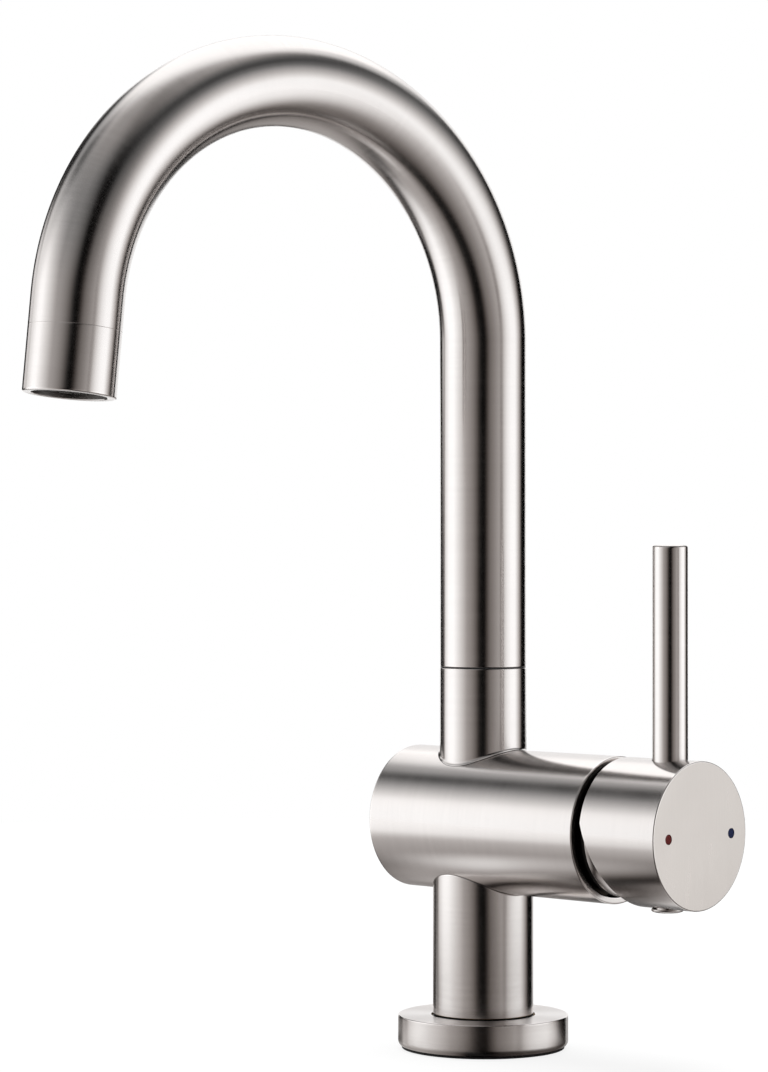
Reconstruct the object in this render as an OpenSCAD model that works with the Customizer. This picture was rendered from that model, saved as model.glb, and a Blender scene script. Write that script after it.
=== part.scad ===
// Single-lever basin mixer tap with a swivelling gooseneck spout.
// Millimetres. +Z is up, the origin lies on the column axis at deck level,
// +X runs along the barrel to the handle and -Y points to the user.

/* [Base] */
// Thickness of the rubber ring between the base and the deck
gasket_t = 0.5; // [0.4:0.1:2]
// Outer diameter of the base rosette
rosette_d = 50; // [47:1:60]
// Height of the rosette above the rubber ring
rosette_h = 9.3; // [8:0.1:14]
// Thickness of the rosette's top plate
rosette_top_t = 1.5; // [1:0.1:3]
// Thickness of the rosette's outer rim
rosette_rim_t = 3.6; // [2:0.2:4]
// Radius that rounds the rosette's lower edge
rosette_round = 1.8; // [0.5:0.1:2.5]
// Gap all round between the column and the rosette
column_gap = 0.5; // [0.1:0.1:1]
// Bevel on the visible edges of the turned pieces
edge_bevel = 0.4; // [0.1:0.1:0.7]

/* [Column and inlets] */
// Outer diameter of the lower column
column_d = 29.5; // [29:0.5:34]
// Wall of the lower column
column_wall_t = 2.2; // [1.4:0.1:2.4]
// Length of the foot's spigot inside the column
foot_spigot_h = 8; // [4:1:14]
// Core hole of the two M10 x 1 hose ports in the foot
hose_port_d = 9; // [8:0.25:9.5]
// Depth of the hose ports
hose_port_depth = 6.5; // [5:0.25:7]
// Distance between the two hose ports
hose_port_spacing = 14.8; // [13.8:0.2:15.4]
// Distance of the hose ports from the column axis, towards the handle
hose_port_offset = 4; // [3.6:0.2:5]
// Core hole of the M8 port for the fixing stud
stud_port_d = 6.8; // [4.2:0.1:6.8]
// Distance of the stud port from the column axis, away from the handle
stud_port_offset = 9.5; // [8:0.5:11]
// Outer diameter of the riser tubes
riser_d = 7; // [6:0.25:7.25]
// Wall of the riser tubes
riser_wall_t = 0.8; // [0.5:0.1:1]

/* [Barrel] */
// Height of the barrel's axis above the deck
barrel_axis_h = 66.8; // [62:0.2:80]
// Outer diameter of the barrel
barrel_d = 42; // [41.6:0.2:46]
// Wall of the barrel
barrel_wall_t = 2; // [1.6:0.1:2.2]
// Length of the barrel from the column axis to its closed end
barrel_left = 26.3; // [22:0.1:36]
// Length of the barrel from the column axis to its open end
barrel_right = 51.2; // [49:0.1:60]
// Thickness of the disc that closes the barrel
end_cap_t = 3; // [2:0.5:5]

/* [Neck] */
// Outer diameter of the neck that the spout turns in
neck_d = 25.5; // [25:0.1:28]
// Height of the neck's top edge above the deck
neck_top_h = 111.6; // [106:0.2:125]
// Bore of the neck
neck_bore_d = 19; // [18:0.1:19.6]
// Outer diameter of the neck's threaded end inside the barrel
neck_thread_d = 21.6; // [21:0.1:23]
// Height above the barrel axis where the neck's threaded end stops
neck_seat_up = 10.5; // [9.5:0.1:12]
// Thickness of the plastic ring that the spout turns on
slip_ring_t = 0.4; // [0.3:0.1:1]
// Diameter of the set screw that keeps the spout in the neck
set_screw_d = 4; // [3:0.5:5]
// Depth of that screw's axis below the neck's top edge
set_screw_drop = 8.6; // [7:0.2:11]

/* [Spout] */
// Outer diameter of the spout tube
tube_d = 25.4; // [24.6:0.1:25.4]
// Wall of the spout tube
tube_wall_t = 1.5; // [1:0.1:2]
// Straight rise from the neck to the start of the bend
spout_rise = 95.3; // [60:0.5:140]
// Radius of the bend, at the tube's centre line
bend_r = 71; // [50:1:100]
// Angle that the bend sweeps
bend_sweep = 174; // [150:1:180]
// Straight length between the bend and the outlet sleeve
outlet_leg = 8.6; // [4:0.2:30]
// Length of the outlet sleeve
sleeve_len = 18; // [15:0.5:30]
// Turn of the spout at rest away from straight ahead, as photographed
spout_turn = -8.5; // [-60:0.5:60]
// Gap between the spigot's foot and the floor of the neck
spigot_foot_gap = 3.3; // [2:0.1:6]
// Length of the spigot's grip inside the spout tube
spigot_grip = 12; // [8:1:20]
// Water way through the spigot
spigot_bore_d = 11.6; // [8:0.2:12.4]
// Thickness of the spigot's two sealing rings
seal_ring_t = 1.8; // [1.4:0.1:2]

/* [Aerator] */
// Diameter of the aerator's seat in the outlet sleeve
aerator_d = 20.4; // [19.4:0.1:21]
// Depth of the aerator inside the outlet
aerator_recess = 1.2; // [0.6:0.1:3]
// Height of the aerator's housing
aerator_h = 8; // [7:0.5:10]
// Wall of the aerator's housing
aerator_wall_t = 1.4; // [1:0.1:2]
// Thickness of the aerator's rubber washer
aerator_washer_t = 1.4; // [1:0.1:2]
// Distance between the honeycomb cells of the outlet grille
cell_pitch = 2.5; // [2.2:0.1:3.5]
// Width of the webs between the honeycomb cells
cell_web = 0.45; // [0.3:0.05:0.8]
// Thickness of the honeycomb grille
grille_t = 2.6; // [1.6:0.2:3]
// Diameter of the jets in the diffuser plate
jet_d = 0.9; // [0.6:0.1:1.2]

/* [Cartridge] */
// Outer diameter of the cartridge
cartridge_d = 34.8; // [34:0.2:35]
// Height of the lever's pivot above the cartridge's seat
pivot_h = 27.5; // [26.5:0.1:29]
// Depth of the lever's pivot inside the barrel's open end
pivot_inset = 1.2; // [0.6:0.1:2]
// Thickness of the cartridge's base
cartridge_base_t = 4; // [3.6:0.1:4.4]
// Thickness of each ceramic disc
ceramic_t = 3.5; // [3:0.1:3.8]
// Diameter of the fixed ceramic disc
fixed_disc_d = 29.2; // [28.6:0.2:29.4]
// Diameter of the moving ceramic disc
moving_disc_d = 23.2; // [22.4:0.2:23.4]
// Distance from the lever's pivot to the centre of its ball end
ball_arm = 12.8; // [12:0.1:13.2]
// Diameter of the lever's ball end
ball_d = 5.2; // [4.4:0.1:5.6]
// Width of the lever's square peg
peg_w = 7.8; // [7:0.1:8]
// Diameter of the lever's pivot pin
pivot_pin_d = 3; // [2.5:0.1:4]
// Distance from the lever's pivot to the handle's socket for the square peg
socket_reach = 15; // [14:0.5:16]
// Depth of the square peg inside that socket
peg_grip = 9.5; // [8:0.5:11]
// Length and width of the boss on the disc carrier that the ball end drives
carrier_boss_l = 14; // [12:0.5:15]
carrier_boss_w = 13; // [11:0.5:14]
// Furthest tilt of the lever from closed to full flow
tilt_max = 25; // [15:1:26]
// Furthest turn of the lever to either side
turn_max = 45; // [30:1:50]
// Height of the retaining nut
nut_h = 5.5; // [4:0.1:5.6]

/* [Handle] */
// Outer diameter of the handle
handle_d = 41.8; // [41.2:0.1:43]
// Gap between the barrel's open end and the handle
handle_gap = 2.8; // [2.4:0.1:4]
// Length of the handle
handle_len = 26.5; // [25:0.5:34]
// Wall of the handle's rim
handle_wall_t = 1.6; // [1:0.1:1.8]
// Thickness of the handle's face
face_t = 4; // [2.5:0.1:4.5]
// Angle of the slanting cut that lets the handle tilt
cut_angle = 19.5; // [19:0.5:25]
// Height above the barrel axis where the slanting cut starts
cut_start = 3.5; // [0:0.5:8]
// Diameter of the lever pin
lever_d = 10; // [8:0.5:12]
// Distance of the lever pin's axis behind the handle's face
lever_setback = 10.6; // [9:0.1:10.8]
// Height of the lever pin's top above the deck
lever_top_h = 147.7; // [125:0.5:170]
// Diameter of the lever pin's threaded end
lever_thread_d = 6; // [4:0.5:6]
// Diameter of the screw that clamps the handle to the peg
grub_d = 5; // [4:0.5:5]
// Distance of that screw's axis behind the lever pin's axis
grub_back = 1; // [0:0.1:1]
// Diameter of the plug's round head under the handle
plug_d = 9; // [7:0.5:10]
// Diameter of the hot and cold dots
dot_d = 2.8; // [2:0.1:4]
// Distance of the dots' centres from the rim of the face
dot_inset = 6.8; // [4:0.1:9]

/* [Clearances] */
// Gap between pieces that move past each other
run_gap = 0.3; // [0.2:0.05:0.4]
// Radial clearance of turning fits
turn_fit = 0.05; // [0.02:0.01:0.08]
// Radial gap between the cover ring and the handle's cup
cover_gap = 0.7; // [0.6:0.1:1]
// Radial clearance of pieces that are pushed or screwed together
seat_fit = 0.1; // [0.05:0.05:0.15]

/* [Hidden] */
$fn = 96;
over = 1;

// Heights above the deck
foot_top = gasket_t + rosette_h - rosette_top_t;
rosette_top = gasket_t + rosette_h;
riser_foot = hose_port_depth + 1.5;
riser_drop = 11;
riser_top = barrel_axis_h - riser_drop;
bend_start_h = neck_top_h + spout_rise;
tube_foot_h = neck_top_h + slip_ring_t + turn_fit;
set_screw_h = neck_top_h - set_screw_drop;
spigot_foot = barrel_axis_h + neck_seat_up + spigot_foot_gap;
spigot_len = neck_top_h - spigot_foot;

// Radii around the column axis
column_r = column_d / 2;
column_in_r = column_r - column_wall_t;
rosette_in_r = rosette_d / 2 - rosette_rim_t;
foot_r = rosette_in_r - column_gap;
gasket_in_r = column_r + 2;
gasket_out_r = rosette_d / 2 - rosette_round * 0.6;
tube_in_r = tube_d / 2 - tube_wall_t;
spigot_r = neck_bore_d / 2 - turn_fit - 0.03;
seal_ring_mid_r = neck_bore_d / 2 - turn_fit - seal_ring_t / 2;
groove_r = seal_ring_mid_r - seal_ring_t / 2;

// Radii around the barrel axis
housing_wall = 1.1;
rotor_step = 2.9;
barrel_r = barrel_d / 2;
barrel_in_r = barrel_r - barrel_wall_t;
core_r = barrel_in_r - seat_fit;
cartridge_r = cartridge_d / 2;
pocket_r = cartridge_r + 2 * seat_fit;
housing_in_r = fixed_disc_d / 2 + 2 * seat_fit;
housing_neck_r = housing_in_r + housing_wall;
rotor_r = housing_in_r - run_gap;
rotor_neck_r = rotor_r - rotor_step;
lip_in_r = rotor_neck_r + run_gap + 0.1;
tab_r = rotor_r + 1.5;
moving_r = moving_disc_d / 2;
handle_r = handle_d / 2;
handle_in_r = handle_r - handle_wall_t;
dot_offset = handle_r - dot_inset;

// Walls, steps and lengths of the small pieces around the barrel axis
core_mouth_d = 9;
disc_window_r = 6.8;
disc_window_off = 3.4;
rotor_front = 8.5;
nut_back = 7;
housing_lip_t = 1.7;
cover_wall = 1.3;
cover_rim = 1.2;
grub_l = 9;
grub_hex_h = 2.5;

// Distances from the column axis along the barrel
pivot_x = barrel_right - pivot_inset;
seat_x = pivot_x - pivot_h;
fixed_disc_x = seat_x + cartridge_base_t;
moving_disc_x = fixed_disc_x + ceramic_t + turn_fit;
carrier_x = moving_disc_x + ceramic_t;
carrier_t = 2.4;
boss_x = carrier_x + carrier_t;
boss_h = 4;
rotor_x = boss_x + run_gap;
channel_end_x = boss_x + boss_h + run_gap;
rotor_shoulder_x = pivot_x + pivot_pin_d / 2 + 0.6;
lip_x = rotor_shoulder_x + run_gap;
housing_end_x = lip_x + housing_lip_t;
rotor_end_x = pivot_x + rotor_front;
nut_x = pivot_x - nut_back;
nut_end_x = nut_x + nut_h;
core_end_x = nut_x - 1;
cover_x = nut_end_x + 0.2;
collar_x = barrel_right + handle_gap - cover_rim;
cover_end_x = rotor_end_x + cover_gap;
handle_x = barrel_right + handle_gap;
face_x = handle_x + handle_len;
inner_face_x = face_x - face_t;
socket_x = pivot_x + socket_reach;
peg_end_x = socket_x + peg_grip;
lever_x = face_x - lever_setback;
grub_x = lever_x - grub_back;

// Water ports on the cartridge, measured up and sideways from the barrel axis
inlet_up = 3.6;
inlet_side = 5.6;
inlet_d = 4.8;
outlet_up = -5.4;
outlet_d = 6;
ports = [[inlet_up, inlet_side, inlet_d], [inlet_up, -inlet_side, inlet_d], [outlet_up, 0, outlet_d]];
seal_w = 1.1;
seal_t = 1.3;

// The disc slides as far as the ball end swings
disc_travel = ball_arm * sin(tilt_max);

// Outlet of the bend, in the spout's own plane
bend_end_x = bend_r * (1 - cos(bend_sweep));
bend_end_h = bend_start_h + bend_r * sin(bend_sweep);
spout_heading = spout_turn - 90;

// The outlet leg is drawn this much slimmer than the bend, outside and inside,
// and starts this far inside it
leg_step = 0.04;
leg_lap = 0.5;

// Radius of the aerator's grille, and the height of the aerator's mouth
grille_r = aerator_d / 2 - seat_fit - aerator_wall_t;
aerator_foot = sleeve_len - aerator_recess;

steel = [0.70, 0.68, 0.65];
steel_dark = [0.56, 0.55, 0.53];
brass = [0.78, 0.62, 0.32];
rubber = [0.09, 0.09, 0.09];
black_plastic = [0.14, 0.14, 0.15];
white_plastic = [0.88, 0.88, 0.86];
ceramic = [0.93, 0.91, 0.87];
copper = [0.74, 0.45, 0.30];
hot_red = [0.62, 0.10, 0.08];
cold_blue = [0.10, 0.16, 0.42];

// Puts a shape that is drawn upright on the barrel axis, pointing to the handle.
// Its own x then points up and its own y to the user.
module along_barrel(x = 0) {
    translate([x, 0, barrel_axis_h])
        rotate([0, 90, 0])
            rotate([0, 0, 180])
                children();
}

// Puts a flat outline, drawn as distance along the barrel and height above its axis,
// into the upright plane of the barrel and gives it a width.
module across_barrel(width) {
    translate([0, 0, barrel_axis_h])
        rotate([90, 0, 0])
            linear_extrude(width, center = true)
                children();
}

// Turns what is drawn with the spout straight along +X to where the spout points.
module at_spout() {
    rotate([0, 0, spout_heading])
        children();
}

// Puts a shape at the end of the spout tube, with its own z along the water jet.
module at_outlet() {
    at_spout()
        translate([bend_end_x, 0, bend_end_h])
            rotate([0, bend_sweep, 0])
                translate([0, 0, outlet_leg])
                    children();
}

// A plain ring, standing on z = 0.
module ring(outer_r, inner_r, h) {
    difference() {
        cylinder(h = h, r = outer_r);
        translate([0, 0, -over])
            cylinder(h = h + 2 * over, r = inner_r);
    }
}

// A turned piece from its outline of [radius, height] points.
module turned(points) {
    rotate_extrude()
        polygon(points);
}

// A ring whose two outer edges are bevelled.
module bevelled_ring(outer_r, inner_r, h, foot_bevel, top_bevel) {
    turned([
        [inner_r, 0],
        [outer_r - foot_bevel, 0],
        [outer_r, foot_bevel],
        [outer_r, h - top_bevel],
        [outer_r - top_bevel, h],
        [inner_r, h]
    ]);
}

// Points of an arc, from one angle to another, as a list of [x, y].
function arc(centre, r, from, to, steps) = [
    for (i = [0:steps])
        let (a = from + (to - from) * i / steps)
            centre + r * [cos(a), sin(a)]
];

// Copies a shape to each water port of the cartridge.
module at_ports() {
    for (p = ports)
        translate([p[0], p[1], 0])
            let ($port_d = p[2])
                children();
}

module base_gasket() {
    color(rubber)
        ring(gasket_out_r, gasket_in_r, gasket_t);
}

module base_rosette() {
    outer_r = rosette_d / 2;
    hole_r = column_r + column_gap;
    color(steel)
        turned(concat(
            [[rosette_in_r, gasket_t]],
            arc([outer_r - rosette_round, gasket_t + rosette_round], rosette_round, -90, 0, 8),
            [
                [outer_r, rosette_top - edge_bevel],
                [outer_r - edge_bevel, rosette_top],
                [hole_r, rosette_top],
                [hole_r, foot_top],
                [rosette_in_r, foot_top]
            ]
        ));
}

module column_foot() {
    color(brass)
        difference() {
            union() {
                cylinder(h = foot_top, r = gasket_in_r - seat_fit);
                translate([0, 0, gasket_t])
                    cylinder(h = foot_top - gasket_t, r = foot_r);
                translate([0, 0, foot_top - over])
                    cylinder(h = foot_spigot_h + over, r = column_in_r - seat_fit);
            }
            for (side = [-1, 1])
                translate([hose_port_offset, side * hose_port_spacing / 2, 0]) {
                    translate([0, 0, -over])
                        cylinder(h = hose_port_depth + over, d = hose_port_d);
                    cylinder(h = foot_top, d = riser_d - 2 * riser_wall_t);
                    translate([0, 0, riser_foot])
                        cylinder(h = foot_top + foot_spigot_h, d = riser_d);
                }
            translate([-stud_port_offset, 0, -over])
                cylinder(h = hose_port_depth + over, d = stud_port_d);
        }
}

module lower_column() {
    color(steel)
        difference() {
            translate([0, 0, foot_top])
                ring(column_r, column_in_r, barrel_axis_h - foot_top);
            along_barrel(-barrel_left)
                cylinder(h = barrel_left + barrel_right, r = barrel_r);
        }
}

module riser_tube(side) {
    translate([hose_port_offset, side * hose_port_spacing / 2, riser_foot])
        ring(riser_d / 2, riser_d / 2 - riser_wall_t, riser_top - riser_foot);
}

module hot_riser_tube() {
    color(copper)
        riser_tube(-1);
}

module cold_riser_tube() {
    color(copper)
        riser_tube(1);
}

module barrel() {
    color(steel)
        difference() {
            along_barrel(-barrel_left)
                bevelled_ring(barrel_r, barrel_in_r, barrel_left + barrel_right, edge_bevel, edge_bevel);
            translate([0, 0, barrel_axis_h])
                cylinder(h = barrel_r + over, r = neck_thread_d / 2 + seat_fit);
            translate([0, 0, barrel_axis_h - barrel_r - over])
                cylinder(h = barrel_r + over, r = column_in_r);
        }
}

module barrel_end_cap() {
    color(steel)
        along_barrel(-barrel_left)
            bevelled_ring(barrel_in_r, 0, end_cap_t, 0, 0);
}

// The block inside the barrel that carries the water from the risers to the
// cartridge and back to the spout.
module waterway_core() {
    core_x = end_cap_t - barrel_left;
    color(brass)
        difference() {
            along_barrel(core_x)
                cylinder(h = core_end_x - core_x, r = core_r);
            along_barrel(seat_x)
                cylinder(h = core_end_x, r = pocket_r);
            along_barrel(seat_x - 3)
                locating_pegs(seat_fit, 3 + over);
            for (side = [-1, 1]) {
                translate([hose_port_offset, side * hose_port_spacing / 2, riser_top])
                    cylinder(h = riser_drop + inlet_up + inlet_d / 2 + over, d = riser_d - 2 * riser_wall_t);
                translate([hose_port_offset, side * hose_port_spacing / 2, riser_top - core_r])
                    cylinder(h = core_r, d = riser_d);
                along_barrel(hose_port_offset + 1)
                    translate([inlet_up, side * inlet_side, 0])
                        cylinder(h = seat_x, d = inlet_d);
            }
            along_barrel(0)
                translate([outlet_up, 0, 0])
                    cylinder(h = seat_x + over, d = outlet_d);
            translate([0, 0, barrel_axis_h + outlet_up - outlet_d / 2 - 1])
                cylinder(h = core_r, d = core_mouth_d);
            translate([0, 0, barrel_axis_h + neck_seat_up])
                cylinder(h = core_r, r = neck_thread_d / 2);
        }
}

module spout_neck() {
    color(steel)
        difference() {
            union() {
                difference() {
                    translate([0, 0, barrel_axis_h])
                        bevelled_ring(neck_d / 2, 0, neck_top_h - barrel_axis_h, 0, edge_bevel / 2);
                    along_barrel(-neck_d)
                        cylinder(h = 2 * neck_d, r = barrel_r);
                }
                translate([0, 0, barrel_axis_h + neck_seat_up])
                    cylinder(h = barrel_r - neck_seat_up + 2, r = neck_thread_d / 2);
            }
            translate([0, 0, barrel_axis_h])
                cylinder(h = neck_top_h, d = neck_bore_d);
            translate([0, 0, set_screw_h])
                rotate([-90, 0, 0])
                    cylinder(h = neck_d, d = set_screw_d);
        }
}

// Held in the back of the neck, with its tip in the spigot's groove.
module spout_set_screw() {
    tip_y = groove_r + run_gap;
    color(steel_dark)
        difference() {
            translate([0, tip_y, set_screw_h])
                rotate([-90, 0, 0])
                    cylinder(h = neck_d / 2 - 0.4 - tip_y, d = set_screw_d, $fn = 48);
            translate([0, neck_d / 2 - 2, set_screw_h])
                rotate([-90, 0, 0])
                    cylinder(h = 2, d = set_screw_d / 2, $fn = 6);
        }
}

module slip_ring() {
    color(black_plastic)
        translate([0, 0, neck_top_h])
            ring(tube_d / 2 - edge_bevel / 2, neck_bore_d / 2, slip_ring_t);
}

// Two pegs that set the cartridge's angle in its pocket.
module locating_pegs(clearance, h) {
    for (side = [-1, 1])
        translate([outlet_up + 1, side * (cartridge_r - 4.2), 0])
            cylinder(h = h, r = 1.8 + clearance, $fn = 48);
}

module cartridge_base() {
    color(white_plastic)
        along_barrel(seat_x) {
            difference() {
                cylinder(h = cartridge_base_t, r = cartridge_r);
                at_ports() {
                    translate([0, 0, -over])
                        cylinder(h = cartridge_base_t + 2 * over, d = $port_d);
                    translate([0, 0, -over])
                        cylinder(h = seal_t + over, r = $port_d / 2 + seal_w);
                    translate([0, 0, cartridge_base_t - seal_t])
                        cylinder(h = seal_t + over, r = $port_d / 2 + seal_w);
                }
            }
            translate([0, 0, -2.8])
                locating_pegs(0, 2.8);
        }
}

module seal_set(x) {
    color(rubber)
        along_barrel(x)
            at_ports()
                ring($port_d / 2 + seal_w, $port_d / 2, seal_t);
}

module base_seals() {
    seal_set(seat_x);
}

module port_seals() {
    seal_set(fixed_disc_x - seal_t);
}

// Two ribs in the housing keep the fixed disc from turning.
module disc_ribs(clearance, h) {
    for (side = [-1, 1])
        translate([0, side * housing_in_r, 0])
            cylinder(h = h, r = 1.6 + clearance, $fn = 48);
}

module fixed_ceramic_disc() {
    color(ceramic)
        along_barrel(fixed_disc_x)
            difference() {
                cylinder(h = ceramic_t, d = fixed_disc_d);
                at_ports()
                    translate([0, 0, -over])
                        cylinder(h = ceramic_t + 2 * over, d = $port_d);
                translate([0, 0, -over])
                    disc_ribs(seat_fit, ceramic_t + 2 * over);
            }
}

module cartridge_housing() {
    shoulder = nut_x - fixed_disc_x;
    tab_angle = turn_max + 11;
    color(black_plastic)
        along_barrel(fixed_disc_x) {
            difference() {
                union() {
                    cylinder(h = shoulder, r = cartridge_r);
                    cylinder(h = housing_end_x - fixed_disc_x, r = housing_neck_r);
                }
                translate([0, 0, -over])
                    cylinder(h = lip_x - fixed_disc_x + over, r = housing_in_r);
                cylinder(h = housing_end_x, r = lip_in_r);
                translate([0, 0, ceramic_t])
                    rotate([0, 0, 90 - tab_angle])
                        rotate_extrude(angle = 2 * tab_angle)
                            translate([housing_in_r - over, 0])
                                square([tab_r + run_gap - housing_in_r + over, rotor_x + 4 - fixed_disc_x - ceramic_t]);
            }
            intersection() {
                disc_ribs(0, ceramic_t);
                ring(housing_in_r + 0.5, housing_in_r - 1.6, ceramic_t);
            }
        }
}

module cartridge_nut() {
    color(brass)
        along_barrel(nut_x)
            difference() {
                bevelled_ring(barrel_in_r, housing_neck_r + seat_fit, nut_h, edge_bevel, edge_bevel);
                for (turn = [0:60:300])
                    rotate([0, 0, turn])
                        translate([housing_neck_r, -1.5, nut_h - 1.6])
                            cube([barrel_in_r, 3, 1.6 + over]);
            }
}

// The domed ring that hides the cartridge and shows in the slanting gap.
module cover_ring() {
    skirt_r = housing_neck_r + seat_fit + cover_wall;
    collar_r = handle_in_r - cover_gap;
    collar_h = collar_x - cover_x;
    top_h = cover_end_x - cover_x;
    opening_r = lip_in_r + 2 * run_gap;
    dome_r = collar_r - opening_r;
    dome_h = top_h - collar_h - cover_rim;
    inner_h = housing_end_x + 0.2 - cover_x;
    color(steel)
        along_barrel(cover_x)
            turned(concat(
                [
                    [housing_neck_r + seat_fit, 0],
                    [skirt_r, 0],
                    [skirt_r, collar_h],
                    [collar_r, collar_h]
                ],
                [
                    for (i = [0:10])
                        let (a = 9 * i)
                            [opening_r + dome_r * cos(a), collar_h + cover_rim + dome_h * sin(a)]
                ],
                [
                    [opening_r, top_h - cover_rim],
                    [housing_neck_r + seat_fit, inner_h]
                ]
            ));
}

// The rise, the bend and the outlet leg as one solid rod. The leg reaches a
// little into the bend and has its own diameter, so that the two join cleanly.
module gooseneck(d, leg_d, extra) {
    translate([0, 0, tube_foot_h - extra])
        cylinder(h = bend_start_h - tube_foot_h + extra, d = d);
    translate([bend_r, 0, bend_start_h])
        mirror([1, 0, 0])
            rotate([90, 0, 0])
                rotate_extrude(angle = bend_sweep, $fn = 180)
                    translate([bend_r, 0])
                        circle(d = d, $fn = 96);
    translate([bend_end_x, 0, bend_end_h])
        rotate([0, bend_sweep, 0])
            translate([0, 0, -leg_lap])
                cylinder(h = outlet_leg + extra + leg_lap, d = leg_d);
}

module spout_tube() {
    bore = 2 * tube_in_r;
    color(steel)
        at_spout()
            difference() {
                gooseneck(tube_d, tube_d - leg_step, 0);
                gooseneck(bore, bore + leg_step, over);
            }
}

seal_heights = [spigot_foot + 1.2, spigot_foot + 1.2 + 2 * seal_ring_t];

module spout_spigot() {
    groove_h = seal_ring_t + 0.4;
    screw_groove_h = set_screw_d + 2 * run_gap;
    color(brass)
        at_spout()
            difference() {
                union() {
                    translate([0, 0, spigot_foot])
                        cylinder(h = tube_foot_h - spigot_foot, r = spigot_r);
                    translate([0, 0, tube_foot_h])
                        cylinder(h = spigot_grip, r = tube_in_r);
                }
                translate([0, 0, spigot_foot - over])
                    cylinder(h = spigot_len + spigot_grip + 2 * over + slip_ring_t, d = spigot_bore_d);
                for (h = seal_heights)
                    translate([0, 0, h])
                        ring(spigot_r + over, groove_r, groove_h);
                translate([0, 0, set_screw_h - screw_groove_h / 2])
                    ring(spigot_r + over, groove_r, screw_groove_h);
            }
}

module spigot_seals() {
    color(rubber)
        for (h = seal_heights)
            translate([0, 0, h + 0.2 + seal_ring_t / 2])
                rotate_extrude()
                    translate([seal_ring_mid_r, 0])
                        circle(d = seal_ring_t, $fn = 48);
}

module outlet_sleeve() {
    seat_r = aerator_d / 2;
    throat_r = seat_r - aerator_wall_t;
    throat_h = aerator_foot - aerator_h - aerator_washer_t;
    color(steel)
        at_outlet()
            turned([
                [throat_r, -6],
                [tube_in_r, -6],
                [tube_in_r, 0],
                [tube_d / 2, 0],
                [tube_d / 2, sleeve_len - edge_bevel],
                [tube_d / 2 - edge_bevel, sleeve_len],
                [seat_r + edge_bevel, sleeve_len],
                [seat_r, sleeve_len - edge_bevel],
                [seat_r, throat_h],
                [throat_r, throat_h]
            ]);
}

module aerator_washer() {
    color(rubber)
        at_outlet()
            translate([0, 0, aerator_foot - aerator_h - aerator_washer_t])
                ring(aerator_d / 2 - seat_fit, grille_r - 0.6, aerator_washer_t);
}

// The housing has a lip at its mouth and four key notches for the aerator key.
module aerator_housing() {
    outer_r = aerator_d / 2 - seat_fit;
    lip = 0.7;
    color(steel_dark)
        at_outlet()
            translate([0, 0, aerator_foot - aerator_h])
                difference() {
                    turned([
                        [grille_r, 0],
                        [outer_r, 0],
                        [outer_r, aerator_h],
                        [grille_r - lip, aerator_h],
                        [grille_r - lip, aerator_h - 0.8],
                        [grille_r, aerator_h - 0.8]
                    ]);
                    for (turn = [45:90:315])
                        rotate([0, 0, turn])
                            translate([outer_r - 0.9, -1, aerator_h - 0.7])
                                cube([2, 2, 2]);
                }
}

module aerator_diffuser() {
    plate_t = 1.2;
    color(white_plastic)
        at_outlet()
            translate([0, 0, aerator_foot - aerator_h])
                difference() {
                    union() {
                        cylinder(h = plate_t, r = grille_r);
                        ring(grille_r, grille_r - 1, aerator_h - 0.8 - grille_t);
                    }
                    for (row = [1:3])
                        for (i = [0:6 * row - 1])
                            rotate([0, 0, i * 60 / row])
                                translate([row * grille_r / 4, 0, -over])
                                    cylinder(h = plate_t + 2 * over, d = jet_d, $fn = 24);
                }
}

// Centres of the honeycomb cells that fit inside a radius.
function honeycomb(pitch, r) = [
    for (i = [-9:9])
        for (j = [-9:9])
            let (p = pitch * [i + j / 2, j * sqrt(3) / 2])
                if (norm(p) < r) p
];

module aerator_grille() {
    cell_r = (cell_pitch - cell_web) / sqrt(3);
    color(black_plastic)
        at_outlet()
            translate([0, 0, aerator_foot - 0.8 - grille_t])
                difference() {
                    cylinder(h = grille_t, r = grille_r);
                    for (p = honeycomb(cell_pitch, grille_r - cell_r - 0.5))
                        translate([p[0], p[1], -over])
                            rotate([0, 0, 30])
                                cylinder(h = grille_t + 2 * over, r = cell_r, $fn = 6);
                }
}

// The rotor turns in the housing, carries the lever's pin and guides the carrier.
module cartridge_rotor() {
    slot_w = peg_w + 0.2 + 2 * run_gap;
    hub_r = peg_w / 2 + 1.1 + run_gap + 0.1;
    waist = hub_r - 0.6;
    boss_w = carrier_boss_w + 2 * run_gap;
    out = rotor_end_x - pivot_x + over;
    in = pivot_x - channel_end_x + over;
    color(white_plastic)
        difference() {
            union() {
                along_barrel(rotor_x)
                    cylinder(h = rotor_shoulder_x - rotor_x, r = rotor_r);
                along_barrel(rotor_shoulder_x)
                    cylinder(h = rotor_end_x - rotor_shoulder_x, r = rotor_neck_r);
                along_barrel(rotor_x)
                    rotate([0, 0, 80])
                        rotate_extrude(angle = 20)
                            translate([rotor_r - over, 0])
                                square([tab_r - rotor_r + over, 3.6]);
            }
            across_barrel(boss_w)
                translate([rotor_x - over, -rotor_r - over])
                    square([channel_end_x - rotor_x + over, 2 * rotor_r + 2 * over]);
            across_barrel(slot_w)
                translate([pivot_x, 0]) {
                    circle(r = hub_r);
                    polygon([
                        [0, -waist],
                        [out, -out * tan(tilt_max) - peg_w / 2 / cos(tilt_max) - run_gap],
                        [out, peg_w / 2 + run_gap],
                        [0, waist]
                    ]);
                    polygon([
                        [0, -waist],
                        [-in, -ball_d / 2 - run_gap],
                        [-in, in * tan(tilt_max) + ball_d / 2 / cos(tilt_max) + run_gap],
                        [0, waist]
                    ]);
                }
            translate([pivot_x, 0, barrel_axis_h])
                rotate([90, 0, 0])
                    cylinder(h = 2 * rotor_r + 2 * over, d = pivot_pin_d, center = true);
        }
}

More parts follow.
